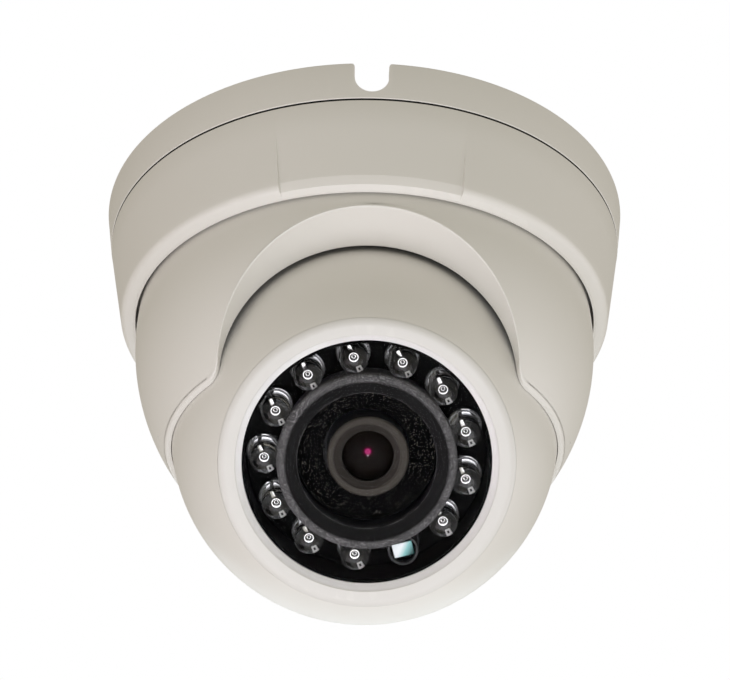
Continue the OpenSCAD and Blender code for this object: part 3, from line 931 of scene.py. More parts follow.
FILTER_BLUE = ClearBody("filter_blue", tint=(0.45, 0.75, 0.82))
FILTER_CLEAR = ClearBody("filter_clear")
BOARD = CircuitBoard("board_green")
LAMP_BOARD = CircuitBoard("board_black", (0.004, 0.004, 0.0045), (0.009, 0.009, 0.01))


# ---------------------------------------------------------------- ceiling base


def mm(points: Sequence[Point]) -> list[Point]:
    """Turns an outline in millimetres into metres."""
    return [(x * MM, y * MM) for x, y in points]


def shaped(corners: Sequence[Corner], steps: int = 6) -> list[Point]:
    """Rounds an outline given in millimetres and returns it in metres."""
    return mm(rounded(corners, steps))


def rod(
    name: str, radius: float, low: float, high: float, place: Matrix, steps: int = 48
) -> bpy.types.Object:
    """Makes a plain rod along its own Z axis, in millimetres, and puts it in place."""
    turns = [FULL_TURN * i / steps for i in range(steps)]
    ring = [(radius * math.cos(a), radius * math.sin(a)) for a in turns]
    made = prism(name, mm(ring), low * MM, high * MM)
    made.data.transform(place)
    return made


def sector(name: str, profile: Sequence[Point], middle: float, half: float) -> bpy.types.Object:
    """Turns a profile, in millimetres, through part of a turn and closes both ends.

    Args:
        name: The object's name.
        profile: Points as (distance from the axis, height).
        middle: The middle of the part turned through, in degrees.
        half: Half of the angle turned through, in degrees.

    Returns:
        The new object.
    """
    steps = 12
    high = len(profile)
    points, faces = [], []
    for i in range(steps + 1):
        a = math.radians(middle - half + 2 * half * i / steps)
        points += [(r * MM * math.cos(a), r * MM * math.sin(a), h * MM) for r, h in profile]
    for i in range(steps):
        for j in range(high):
            up = (j + 1) % high
            faces.append((i * high + j, (i + 1) * high + j, (i + 1) * high + up, i * high + up))
    faces += [tuple(range(high)), tuple(range(steps * high, (steps + 1) * high))]
    mesh = bpy.data.meshes.new(name)
    mesh.from_pydata(points, [], faces)
    tidy_mesh(mesh, math.radians(30))
    return new_object(name, mesh)


SIDEWAYS = Matrix.Rotation(math.radians(90), 4, "Y")
BACKWARDS = Matrix.Rotation(math.radians(-90), 4, "X")


@dataclass(frozen=True)
class CeilingBase:
    """The dish that screws to the ceiling, with its rubber gland. Sizes are in millimetres."""

    top_r: float = 46.7
    low_r: float = 45.95
    rim_in: float = 44.4
    depth: float = 7.1
    web_top: float = -5.1
    skirt_out: float = 41.5
    skirt_in: float = 39.3
    skirt_low: float = -12.0
    gland_r: float = 6.0
    boss_r: float = 4.0
    hole_r: float = 2.1
    hole_circle_r: float = 30.0
    screws: tuple[int, ...] = (90, 210, 330)
    notch_w: float = 5.95
    notch_d: float = 5.8
    notch_flare: float = 0.8
    notch_from: float = -42.8
    seam_shade_r: tuple[float, float] = (41.7, 45.75)
    edge_step: float = 0.12
    lug_turns: tuple[int, ...] = (30, 150, 270)
    gland_bore: float = 3.0
    gland_lip: float = 1.2

    def outline(self) -> list[Point]:
        """Returns the dish's section."""
        return shaped(
            (
                (self.gland_r, self.web_top, 0.15),
                (self.rim_in - 0.4, self.web_top, 0.8),
                (self.rim_in, 0, 0.25),
                (self.top_r, 0, 0.25),
                (self.low_r, -self.depth + self.edge_step, 0.05),
                (self.low_r - self.edge_step, -self.depth, 0.05),
                (self.skirt_out, -self.depth, 0.2),
                (self.skirt_out, self.skirt_low, 0.3),
                (self.skirt_in, self.skirt_low, 0.3),
                (self.skirt_in, -self.depth, 0.5),
                (self.gland_r, -self.depth, 0.15),
            )
        )

    def notch(self) -> bpy.types.Object:
        """Makes the solid that cuts the cable notch, with softened corners at its mouth."""
        half, flare = self.notch_w / 2, self.notch_flare
        floor = half - self.notch_d
        right = [(half, floor), (half, -flare)]
        for a in (0.4, 0.8, 1.2):
            right.append((half + flare - flare * math.cos(a), -flare + flare * math.sin(a)))
        right += [(half + flare, 0.0), (half + flare, 2.0)]
        turns = [-math.pi * k / 16 for k in range(1, 16)]
        bowl = [(half * math.cos(a), floor + half * math.sin(a)) for a in turns]
        left = [(-x, y) for x, y in reversed(right)]
        made = prism("notch_cut", mm(right + left + list(reversed(bowl))), 0, 6 * MM)
        turn = Matrix.Rotation(math.radians(90), 4, "X")
        made.data.transform(Matrix.Translation((0, self.notch_from * MM, 0)) @ turn)
        return made

    def screw_places(self) -> list[Matrix]:
        """Returns the places of the mounting holes."""
        turns = (Matrix.Rotation(math.radians(a), 4, "Z") for a in self.screws)
        return [turn @ Matrix.Translation((self.hole_circle_r * MM, 0, 0)) for turn in turns]

    def paint_seam_shade(self, dish: bpy.types.Object) -> None:
        """Gives the face behind the ring's seam the seal rubber's dark material, as painted shade in the gap.
        """
        for face in dish.data.polygons:
            r = math.hypot(face.center.x, face.center.y) / MM
            if self.seam_shade_r[0] < r < self.seam_shade_r[1] and abs(face.center.z / MM + self.depth) < 0.05:
                face.material_index = 1

    def build(self) -> None:
        """Makes the dish and its gland."""
        dish = lathe("ceiling_dish", self.outline(), 320)
        root = self.web_top - 1
        boss = shaped(((0, 0, 0), (self.boss_r, 0, 0.3), (self.boss_r, root, 0), (0, root, 0)))
        lug = ((40.6, -9.8), (42.7, -9.8), (42.7, -11.2), (40.6, -11.2))
        added = [lathe("boss", boss, 64, place) for place in self.screw_places()]
        added += [sector("lug", lug, a, 12) for a in self.lug_turns]
        cut(dish, added, "UNION")
        holes = [rod("hole", self.hole_r, -9, 2, place) for place in self.screw_places()]
        cut(dish, [*holes, self.notch()])
        dish.data.materials.append(SHELL_WHITE.material())
        # The second slot is painted shade: the dark rubber material on the dish face behind the ring's seam.
        dish.data.materials.append(SEAL_RUBBER_AND_SEAM_SHADE.material())
        self.paint_seam_shade(dish)
        deliver(dish, Body.BASE, None, "housing", "base_dish")
        self.gland()

    def gland(self) -> None:
        """Makes the rubber gland in the dish's web."""
        lip = self.gland_r + 2
        low, high = -self.depth - self.gland_lip, self.web_top + self.gland_lip
        section = shaped(
            (
                (self.gland_bore, low, 0.5),
                (lip, low, 0.5),
                (lip, -self.depth, 0.2),
                (self.gland_r, -self.depth, 0),
                (self.gland_r, self.web_top, 0),
                (lip, self.web_top, 0.2),
                (lip, high, 0.5),
                (self.gland_bore, high, 0.5),
            )
        )
        rubber = lathe("ceiling_gland", section, 96)
        deliver(rubber, Body.BASE, SEAL_RUBBER_AND_SEAM_SHADE.material(), "black_rubber", "cable_gland")


# ---------------------------------------------------------------- cover ring


@dataclass(frozen=True)
class CoverRing:
    """The ring that covers the base, with a flat-chamfered panel at its front. Sizes are in millimetres."""

    top: float = -7.42
    top_r: float = 45.85
    low: float = -23.6
    lip_r: float = 41.0
    flat_r: float = 41.5
    panel_half: float = 21.2
    panel_step: float = 0.16
    wall_from: Point = (45.176, -12.0)
    wall_low: Point = (43.53, -22.9)
    recess_low: Point = (43.34, -21.4)
    panel_corners: tuple[Corner, ...] = ((43.30, -21.6, 0.08), (42.6, -23.06, 0.08))
    columns: int = 288
    lug_turns: tuple[int, ...] = (30, 150, 270)
    screw_h: float = -19.6

    def wall(self, end: Point, count: int) -> list[Point]:
        """Returns evenly spaced points down the wall, without the end itself."""
        start = self.wall_from
        shares = [k / count for k in range(count)]
        return [(start[0] + (end[0] - start[0]) * t, start[1] + (end[1] - start[1]) * t) for t in shares]

    def outer(self, panel: bool) -> list[Point]:
        """Returns the outer side from the upper edge to the lip, with as many points either way."""
        corners = ((43.9, self.top, 0), (self.top_r, self.top, 0.15), (45.0, -13.2, 0))
        top = rounded(corners, 4, closed=False)[:-1]
        start = (*self.wall_from, 0)
        underside = ((self.flat_r, self.low, 0.05), (self.lip_r + 0.06, self.low, 0))
        if panel:
            edge = rounded((start, *self.panel_corners, *underside), 5, closed=False)[1:-1]
            return top + self.wall(self.recess_low, 8) + [self.recess_low] + edge
        edge = rounded((start, (*self.wall_low, 2.2), *underside), 8, closed=False)[1:-1]
        return top + self.wall(edge[0], 9) + edge

    def inner(self) -> list[Point]:
        """Returns the inner side from the lip back up to the upper edge."""
        return [
            (self.lip_r + 0.06, self.low),
            (self.lip_r, self.low + 0.06),
            (self.lip_r, -17.0),
            (39.6, -17.0),
            (39.6, -15.0),
            (43.0, -15.0),
            (43.0, -9.0),
        ]

    def share(self, degrees: float) -> float:
        """Returns how much of the panel's section an angle from the front has, from 0 to 1."""
        t = (self.panel_half - abs(degrees)) / self.panel_step + 0.5
        t = min(1.0, max(0.0, t))
        return t * t * (3 - 2 * t)

    def angles(self) -> list[float]:
        """Returns the columns' angles from the front, in degrees, closer together at the panel's ends."""
        spread = [360 * i / self.columns - 180 for i in range(self.columns)]
        steps = [self.panel_half + self.panel_step * (k / 6 - 0.5) for k in range(7)]
        near = [side * step for side in (-1, 1) for step in steps]
        kept = [a for a in spread if abs(abs(a) - self.panel_half) > self.panel_step]
        return sorted(kept + near)

    def build(self) -> None:
        """Makes the ring with its lugs, stop and screw hole."""
        plain, panel, inner = self.outer(False), self.outer(True), self.inner()
        columns = []
        for degrees in self.angles():
            part = self.share(degrees)
            a = math.radians(degrees - 90)
            pairs = zip(plain, panel)
            outer = [(p[0] + (q[0] - p[0]) * part, p[1] + (q[1] - p[1]) * part) for p, q in pairs]
            columns.append([Vector((r * math.cos(a), r * math.sin(a), h)) * MM for r, h in outer + inner])
        ring = loft("cover_ring_shell", columns)
        lug = ((41.8, -8.6), (43.8, -8.6), (43.4, -9.8), (41.8, -9.8))
        stop = ((41.95, -12.2), (43.5, -12.2), (43.5, -15.5), (41.95, -15.5))
        added = [sector("lug", lug, a, 12) for a in self.lug_turns]
        added.append(sector("stop", stop, -90, 2))
        cut(ring, added, "UNION")
        place = Matrix.Translation((0, 40 * MM, self.screw_h * MM)) @ BACKWARDS
        cut(ring, [rod("screw_hole", 1.25, 0, 8, place), rod("counterbore", 1.7, 3.75, 8, place)])
        deliver(ring, Body.BASE, SHELL_WHITE.material(), "housing", "cover_ring")


# ---------------------------------------------------------------- turning bowl


@dataclass(frozen=True)
class TurningBowl:
    """The bowl that turns in the ring, with the flared arch that the eyeball looks out of.

    Sizes are in millimetres. The arch is a cone about an axis near the largest tilt, less flared at its top.
    """

    radius: float = 40.8
    centre_h: float = -28.4
    inner_r: float = 38.6
    seat_r: float = 34.12
    relief: tuple[float, float, float] = (0.0, -1.8, -1.23)
    relief_heights: tuple[float, float] = (-48.0, -38.0)
    low: float = -49.8
    arch_tilt: float = 78.0
    throat: float = 22.0
    throat_r: float = 25.3
    flare: float = 8.0
    flare_less: float = 4.1
    lean: float = -3.0
    corner: float = 2.8
    edge: float = 0.4
    inner_edge: float = 0.1
    flange_r: float = 41.7
    flange_in: float = 38.3
    flange_h: tuple[float, float] = (-14.15, -12.2)
    seat_top: tuple[float, float] = (-43.2, -20.0)
    seat_rise: float = 2.5
    arch_columns: int = 160
    bottom_columns: int = 144
    corner_columns: int = 14
    rows: int = 26

    def cone(self) -> tuple[Vector, Matrix]:
        """Returns the arch cone's start and its turn."""
        eye = EYE.tilted(math.radians(self.arch_tilt)).matrix()
        lean = Matrix.Rotation(math.radians(self.lean), 4, "X")
        place = eye @ Matrix.Translation((0, 0, self.throat * MM)) @ lean
        return place.to_translation() / MM, place.to_3x3().normalized()

    def pierce(self, around: float, centre: Vector, radius: float) -> Vector:
        """Returns where one straight line of the cone leaves a sphere.

        Args:
            around: The line's angle round the cone's axis, from its top.
            centre: The sphere's centre.
            radius: The sphere's radius.

        Returns:
            The point on the sphere, in millimetres.
        """
        start, turn = self.cone()
        rim = Vector((math.sin(around), math.cos(around), 0))
        upright = max(0.0, math.cos(around))
        slope = math.tan(math.radians(self.flare - self.flare_less * upright * upright))
        origin = start + turn @ (rim * self.throat_r)
        ray = (turn @ Vector((rim.x * slope, rim.y * slope, 1))).normalized()
        away = origin - centre
        b = away.dot(ray)
        reach = -b + math.sqrt(b * b - away.length_squared + radius * radius)
        return origin + ray * reach

    def relieved(self, around: float, centre: Vector, radius: float) -> Vector:
        """Returns a point of the arch's edge, which stands off the ball more towards the top."""
        point = self.pierce(around, centre, radius)
        if radius > self.seat_r:
            return point
        low, high = self.relief_heights
        share = min(1.0, max(0.0, (point.z - low) / (high - low)))
        return point + Vector(self.relief) * share * share * (3 - 2 * share)

    def curve(self, centre: Vector, radius: float, turn_end: float, low_r: float) -> list[Vector]:
        """Returns one closed edge of the bowl: up over the arch, then round the bottom.

        Args:
            centre: Centre of the sphere that the edge lies on.
            radius: That sphere's radius.
            turn_end: The cone angle at which the arch meets the bottom.
            low_r: Radius of the sphere where it meets the bottom.

        Returns:
            The edge's points, in millimetres.
        """
        meet = self.pierce(turn_end, centre, radius)
        side = math.atan2(meet.x, -meet.y)
        trim_turn = turn_end - self.corner / self.throat_r
        trim_side = side + self.corner / low_r
        arch = []
        for i in range(self.arch_columns + 1):
            a = -trim_turn + 2 * trim_turn * i / self.arch_columns
            arch.append(self.relieved(a, centre, radius))
        right_end = Vector((low_r * math.sin(trim_side), -low_r * math.cos(trim_side), self.low))
        bend = []
        for i in range(1, self.corner_columns):
            t = i / self.corner_columns
            raw = arch[-1] * (1 - t) ** 2 + meet * 2 * t * (1 - t) + right_end * t * t
            bend.append(centre + (raw - centre).normalized() * radius)
        round_low = []
        for i in range(self.bottom_columns + 1):
            a = trim_side + (FULL_TURN - 2 * trim_side) * i / self.bottom_columns
            round_low.append(Vector((low_r * math.sin(a), -low_r * math.cos(a), self.low)))
        back = [Vector((-p.x, p.y, p.z)) for p in reversed(bend)]
        return arch + bend + round_low + back

    def turn_end(self, centre: Vector, radius: float) -> float:
        """Returns the cone angle at which the arch reaches the bowl's lower edge on a sphere."""
        low, high = 0.5, 2.6
        for _ in range(40):
            middle = (low + high) / 2
            if self.pierce(middle, centre, radius).z > self.low:
                low = middle
            else:
                high = middle
        return low

    def edges(self) -> tuple[list[Vector], list[Vector]]:
        """Returns the outer and the inner closed edges."""
        outer_c = Vector((0, 0, self.centre_h))
        inner_c = EYE.centre / MM
        made = []
        for centre, radius in ((outer_c, self.radius), (inner_c, self.seat_r)):
            low_r = math.sqrt(radius**2 - (self.low - centre.z) ** 2)
            made.append(self.curve(centre, radius, self.turn_end(centre, radius), low_r))
        return made[0], made[1]

    def climb(self, start: Vector, centre: Vector, radius: float, top: float, rows: int) -> list[Vector]:
        """Returns points that climb a sphere from one point, in its own upright plane.

        Args:
            start: A point on the sphere.
            centre: The sphere's centre.
            radius: The sphere's radius.
            top: The height to climb to.
            rows: How many points to return.

        Returns:
            The points above the start, the last at the top.
        """
        flat = Vector((start.x, start.y, 0)).normalized()
        low = math.asin(max(-1.0, min(1.0, (start.z - centre.z) / radius)))
        high = math.asin((top - centre.z) / radius)
        made = []
        for i in range(1, rows + 1):
            t = (i / rows) ** 1.35
            a = low + (high - low) * t
            made.append(Vector((0, 0, centre.z + radius * math.sin(a))) + flat * radius * math.cos(a))
        return made

    def soft_edge(self, corner: Vector, before: Vector, after: Vector, size: float) -> list[Vector]:
        """Returns a rounded corner between two directions, with support points each side."""
        back, on = (before - corner).normalized(), (after - corner).normalized()
        reach = min(size, 0.4 * (after - corner).length)
        first, last = corner + back * reach, corner + on * reach
        made = [corner + back * reach * 1.8]
        for i in range(5):
            t = i / 4
            made.append(first * (1 - t) ** 2 + corner * 2 * t * (1 - t) + last * t * t)
        made.append(corner + on * reach * 1.4)
        return made

    def column(self, outer: Vector, inner: Vector) -> list[Vector]:
        """Returns one closed column of points, from the flange down the outside and up the inside."""
        outer_c = Vector((0, 0, self.centre_h))
        seat_c = EYE.centre / MM
        side = Vector((outer.x, outer.y, 0)).normalized()
        inward = Vector((inner.x, inner.y, 0)).normalized()
        flange_low, flange_top = self.flange_h
        outside = self.climb(outer, outer_c, self.radius, flange_low, self.rows)
        seat_top = min(self.seat_top[1], max(inner.z + self.seat_rise, self.seat_top[0]))
        seat = self.climb(inner, seat_c, (inner - seat_c).length, seat_top, 5)
        step_r = math.sqrt(self.inner_r**2 - (seat_top - self.centre_h) ** 2)
        step = inward * step_r + Vector((0, 0, seat_top))
        inside = self.climb(step, outer_c, self.inner_r, flange_top, 16)
        face = self.soft_edge(outer, outside[0], inner, self.edge)
        face += self.soft_edge(inner, outer, seat[0], self.inner_edge)
        flange = [
            side * self.flange_r + Vector((0, 0, flange_top)),
            side * self.flange_r + Vector((0, 0, flange_low)),
            side * self.flange_in + Vector((0, 0, flange_low)),
        ]
        return [*flange, *reversed(outside[:-1]), *face, *seat, step, *inside]

    def build(self) -> None:
        """Makes the bowl."""
        outer, inner = self.edges()
        columns = [[p * MM for p in self.column(a, b)] for a, b in zip(outer, inner)]
        bowl = loft("turning_bowl", columns)
        bowl.data.set_sharp_from_angle(angle=math.radians(40))
        bowl.data.materials.append(SHELL_WHITE.material())
        # The second slot is painted shade: the black material on the bowl's inside faces darkens the gap
        # round the ball.
        bowl.data.materials.append(FRAME_BLACK_AND_BOWL_SHADE.material())
        for face in bowl.data.polygons:
            inward = (EYE.centre - face.center).normalized()
            deep = (face.center / MM - Vector((0, 0, self.centre_h))).length < self.inner_r + 0.5
            face.material_index = 1 if deep and face.normal.dot(inward) > 0.75 else 0
        stop = sector("stop", ((41.2, -14.0), (42.8, -14.0), (42.8, -12.35), (41.2, -12.35)), 90, 2)
        stop.data.materials.append(bowl.data.materials[0])
        deliver(joined("turning_bowl_shell", [bowl, stop]), Body.TURRET, None, "housing", "turret_bowl")


# ---------------------------------------------------------------- eyeball


@dataclass(frozen=True)
class Eyeball:
    """The two shells of the tilting ball. Sizes are in millimetres, along and round the optical axis."""

    radius: float = 34.0
    wall: float = 2.2
    bore_r: float = 25.37
    front_low: float = -3.5
    rear_top: float = -4.0
    seat_h: float = 8.4
    neck_r: float = 30.4
    neck_h: float = 6.2
    pin_r: float = 2.05
    gland_r: float = 4.0
    screw_r: float = 28.7
    screw_turns: tuple[int, ...] = (45, 135, 225, 315)
    lead: float = 0.03

    def ball(self, radius: float, first: float, last: float, steps: int) -> list[Point]:
        """Returns points of the ball's section between two heights."""
        start, end = math.acos(first / radius), math.acos(last / radius)
        return arc((0, 0), radius, start, end, steps)

    def front(self) -> bpy.types.Object:
        """Makes the front shell, whose bore holds the camera module."""
        inner = self.radius - self.wall
        rim_h = math.sqrt(self.radius**2 - self.bore_r**2)
        section = [(self.bore_r, self.seat_h), (self.bore_r, rim_h - self.lead)]
        section += self.ball(self.radius, rim_h - self.lead * 0.2, self.front_low + 0.2, 56)
        section += [(self.radius - 0.25, self.front_low)]
        section += [(math.sqrt(inner**2 - self.front_low**2), self.front_low)]
        neck_top = math.sqrt(inner**2 - self.neck_r**2)
        section += self.ball(inner, self.front_low + 0.1, neck_top, 10)
        section += [(self.neck_r, self.neck_h), (27.25, self.neck_h), (27.25, self.seat_h)]
        shell = lathe("eyeball_front", mm(section), 256, EYE.matrix())
        across = Matrix.Translation(EYE.centre) @ SIDEWAYS
        cut(shell, [rod("pin_hole", self.pin_r, -36, 36, across)])
        return shell

    def rear(self) -> bpy.types.Object:
        """Makes the rear shell with its cable hole and screw recesses."""
        inner = self.radius - self.wall
        back = -math.sqrt(self.radius**2 - self.gland_r**2)
        back_in = -math.sqrt(inner**2 - self.gland_r**2)
        section = [(31.2, self.rear_top), (self.radius - 0.45, self.rear_top)]
        section += self.ball(self.radius, self.rear_top - 0.2, back, 60)
        section += self.ball(inner, back_in, -7.0, 30)[:-1]
        section += [(29.6, -7.0), (29.6, -2.8), (31.2, -2.8)]
        shell = lathe("eyeball_rear", mm(section), 256, EYE.matrix())
        across = Matrix.Translation(EYE.centre) @ SIDEWAYS
        holes = [rod("pin_way", 3.9, -36, 36, across)]
        pillars = []
        for a in self.screw_turns:
            turn = Matrix.Rotation(math.radians(a), 4, "Z")
            spot = EYE.matrix() @ turn @ Matrix.Translation((self.screw_r * MM, 0, 0))
            pillars.append(rod("pillar", 3.0, -16, self.rear_top, spot))
            holes += [rod("screw_way", 1.1, -20, 0, spot), rod("screw_recess", 2.2, -30, -9.5, spot)]
        cut(shell, pillars, "UNION")
        cut(shell, holes)
        return shell

    def build(self) -> None:
        """Makes both shells."""
        white = SHELL_WHITE.material()
        deliver(self.front(), Body.EYEBALL, white, "housing", "eyeball_front_shell")
        deliver(self.rear(), Body.EYEBALL, white, "housing", "eyeball_rear_shell")


# ---------------------------------------------------------------- camera module


@dataclass(frozen=True)
class LampCircle:
    """Places round the optical axis for the lamps and the light sensor. Sizes are in millimetres."""

    radius: float = 17.5
    places: int = 13
    start: float = -8.3
    sensor: int = 6

    def spot(self, place: int) -> Matrix:
        """Returns the matrix of one place, counted clockwise from the top."""
        a = math.radians(self.start + place * 360 / self.places)
        return Matrix.Translation((self.radius * MM * math.sin(a), self.radius * MM * math.cos(a), 0))

    def lamp_places(self) -> list[int]:
        """Returns the places that hold a lamp."""
        return [k for k in range(self.places) if k != self.sensor]


CIRCLE = LampCircle()


@dataclass(frozen=True)
class CameraModule:
    """Bezel, window, hood, light trap and lamp mask. Sizes are in millimetres from the ball's centre."""

    face_h: float = 23.3
    seat_h: float = 22.1
    glass_h: float = 23.15
    bezel_r: float = 25.35
    bezel_round: float = 1.9
    ball_r: float = 34.0
    window_r: float = 21.3
    mask_low: float = 12.1
    mask_top: float = 12.9
    lamp_hole_r: float = 3.0

    def bezel(self) -> bpy.types.Object:
        """Makes the front bezel."""
        reach = self.ball_r - self.bezel_round
        tip = math.acos((self.face_h - self.bezel_round) / reach)
        middle = (reach * math.sin(tip), self.face_h - self.bezel_round)
        section = rounded(
            (
                (self.window_r, 8.5, 0),
                (self.window_r, self.seat_h, 0.05),
                (self.window_r + self.face_h - self.seat_h, self.face_h, 0.16),
                (middle[0], self.face_h, 0),
            ),
            5,
            closed=False,
        )
        section += arc(middle, self.bezel_round, 0.0, tip, 12)[1:]
        section += [(self.bezel_r, 21.6), (self.bezel_r, 8.0), (27.05, 8.0)]
        section += [(27.05, 6.4), (22.7, 6.4), (22.7, 8.5)]
        return lathe("front_bezel_ring", mm(section), 320, EYE.matrix(), sharp=math.radians(40))

    def window(self) -> bpy.types.Object:
        """Makes the window, a thin pane with a bevelled edge."""
        low_r, top_r = self.window_r - 0.05, self.window_r + self.glass_h - self.seat_h - 0.05
        section = [(0, self.seat_h), (low_r, self.seat_h), (top_r, self.glass_h), (0, self.glass_h)]
        return lathe("window_pane", mm(section), 192, EYE.matrix(), closed=False, sharp=math.radians(20))

    def hood(self) -> bpy.types.Object:
        """Makes the rubber hood round the lens, with its rounded shoulder."""
        section = shaped(
            (
                (12.6, self.mask_top, 0.1),
                (14.4, self.mask_top, 0.1),
                (14.4, 14.2, 0.1),
                (14.8, 14.4, 0.1),
                (14.8, 19.3, 0.3),
                (15.4, 20.3, 0.5),
                (15.4, 22.0, 0.95),
                (13.9, 22.0, 0.35),
                (11.9, 20.9, 0.12),
                (11.9, 20.1, 0.2),
            ),
            7,
        )
        return lathe("lens_hood", section, 256, EYE.matrix(), sharp=math.radians(50))

    def trap(self) -> bpy.types.Object:
        """Makes the speckled light trap."""
        section = shaped(
            (
                (7.4, 12.2, 0.05),
                (10.8, 12.2, 0),
                (10.8, 12.9, 0),
                (12.3, 12.9, 0.05),
                (11.8, 15.2, 0.2),
                (10.9, 15.4, 0.3),
                (7.4, 14.2, 0.1),
            )
        )
        return lathe("light_trap_cone", section, 192, EYE.matrix(), sharp=math.radians(50))

    def mask(self) -> bpy.types.Object:
        """Makes the glossy mask round the lamps, with a hole for each one."""
        section = shaped(
            (
                (10.9, self.mask_low, 0),
                (21.25, self.mask_low, 0.1),
                (21.25, 22.05, 0.05),
                (20.8, 22.05, 0.05),
                (20.8, self.mask_top, 0.4),
                (10.9, self.mask_top, 0.1),
            )
        )
        plate = lathe("lamp_mask", section, 192, EYE.matrix())
        spots = [EYE.matrix() @ CIRCLE.spot(k) for k in range(CIRCLE.places)]
        cut(plate, [rod("lamp_hole", self.lamp_hole_r, 11, 14, spot) for spot in spots])
        return plate

    def build(self) -> None:
        """Makes the module's front parts."""
        deliver(self.bezel(), Body.MODULE, BEZEL_WHITE.material(), "bezel", "front_bezel")
        deliver(self.window(), Body.MODULE, WINDOW.material(), "window", "window_glass")
        deliver(self.hood(), Body.MODULE, HOOD_RUBBER.material(), "black_rubber", "hood_ring")
        deliver(self.trap(), Body.MODULE, LINING.material(), "light_trap", "light_trap")
        deliver(self.mask(), Body.MODULE, MASK_BLACK.material(), "black_plastic", "led_mask")


# ---------------------------------------------------------------- lamps and sensor


LEADFRAME_METAL = LEADFRAME.material()
LAMP_CHIP = CHIP_BLACK.material()
POST_SILVER = POST_PLATING.material()


@dataclass(frozen=True)
class Lamp:
    """One clear lamp: a domed resin body round a silver leadframe. Sizes are in millimetres."""

    body_r: float = 2.5
    flange_r: float = 2.85
    base_h: float = 12.5
    tip_h: float = 21.1
    leg_low: float = 9.6
    leg_x: float = 1.27
    cup_h: float = 17.5
    post_h: float = 17.2
    lead_turn: float = -66.0

    def resin(self, name: str, place: Matrix) -> bpy.types.Object:
        """Makes the clear body."""
        dome_h = self.tip_h - self.body_r
        section = [(0.0, self.base_h)]
        section += rounded(
            (
                (0.0, self.base_h, 0),
                (self.flange_r, self.base_h, 0.08),
                (self.flange_r, self.base_h + 1, 0.12),
                (self.body_r, self.base_h + 1, 0.08),
                (self.body_r, dome_h, 0),
            ),
            3,
            closed=False,
        )[1:]
        section += arc((0, dome_h), self.body_r, math.pi / 2, 0.0, 16)[1:]
        return lathe(name, mm(section), 64, place, closed=False)

    def plate(self, name: str, outline: Sequence[Point], thick: float, place: Matrix) -> bpy.types.Object:
        """Makes one flat part of the leadframe from its outline across and along the lamp."""
        made = prism(name, mm(outline), -thick / 2 * MM, thick / 2 * MM, 0.03 * MM)
        upright = Matrix.Rotation(math.radians(90), 4, "X")
        made.data.transform(place @ upright)
        return made

    def leadframe(self, name: str, place: Matrix) -> bpy.types.Object:
        """Makes the anvil, the cup with its chip and the post with its plated head, each on its leg."""
        place = place @ Matrix.Rotation(math.radians(self.lead_turn), 4, "Z")
        x, low, cup = self.leg_x, self.leg_low, self.cup_h
        anvil = [
            (-x - 0.22, low), (-x + 0.22, low), (-x + 0.22, 14.6), (-0.75, 16.2), (-0.4, cup - 0.1),
            (-0.4, cup + 0.3), (-0.8, cup + 0.42), (-1.75, cup + 0.5), (-1.85, 15.6), (-x - 0.22, 14.6),
        ]
        post = [
            (x - 0.2, low), (x + 0.2, low), (x + 0.2, 15.4), (x + 0.2, self.post_h),
            (x - 0.2, self.post_h), (x - 0.2, 15.4),
        ]
        cup_section = [
            (0.0, cup - 0.1), (0.36, cup - 0.1), (0.52, cup + 0.5),
            (0.43, cup + 0.5), (0.22, cup + 0.2), (0.0, cup + 0.2),
        ]
        parts = [
            self.plate("anvil", anvil, 0.46, place),
            self.plate("post", post, 0.36, place),
            lathe("cup", mm(cup_section), 40, place, closed=False, sharp=math.radians(30)),
        ]
        for part in parts:
            part.data.materials.append(LEADFRAME_METAL)
        head_size, head_h = (0.46 * MM, 0.46 * MM, 0.2 * MM), self.post_h + 0.1
        head = block("head", head_size, (x * MM, 0, head_h * MM), 0.03 * MM)
        head.data.transform(place)
        head.data.materials.append(POST_SILVER)
        dots = ((0, 0.26, cup + 0.27), (x, 0.17, self.post_h + 0.18))
        for across, size, height in dots:
            dot = block("dot", (size * MM, size * MM, 0.14 * MM), (across * MM, 0, height * MM), 0.01 * MM)
            dot.data.transform(place)
            dot.data.materials.append(LAMP_CHIP)
            parts.append(dot)
        return joined(name, [*parts, head])


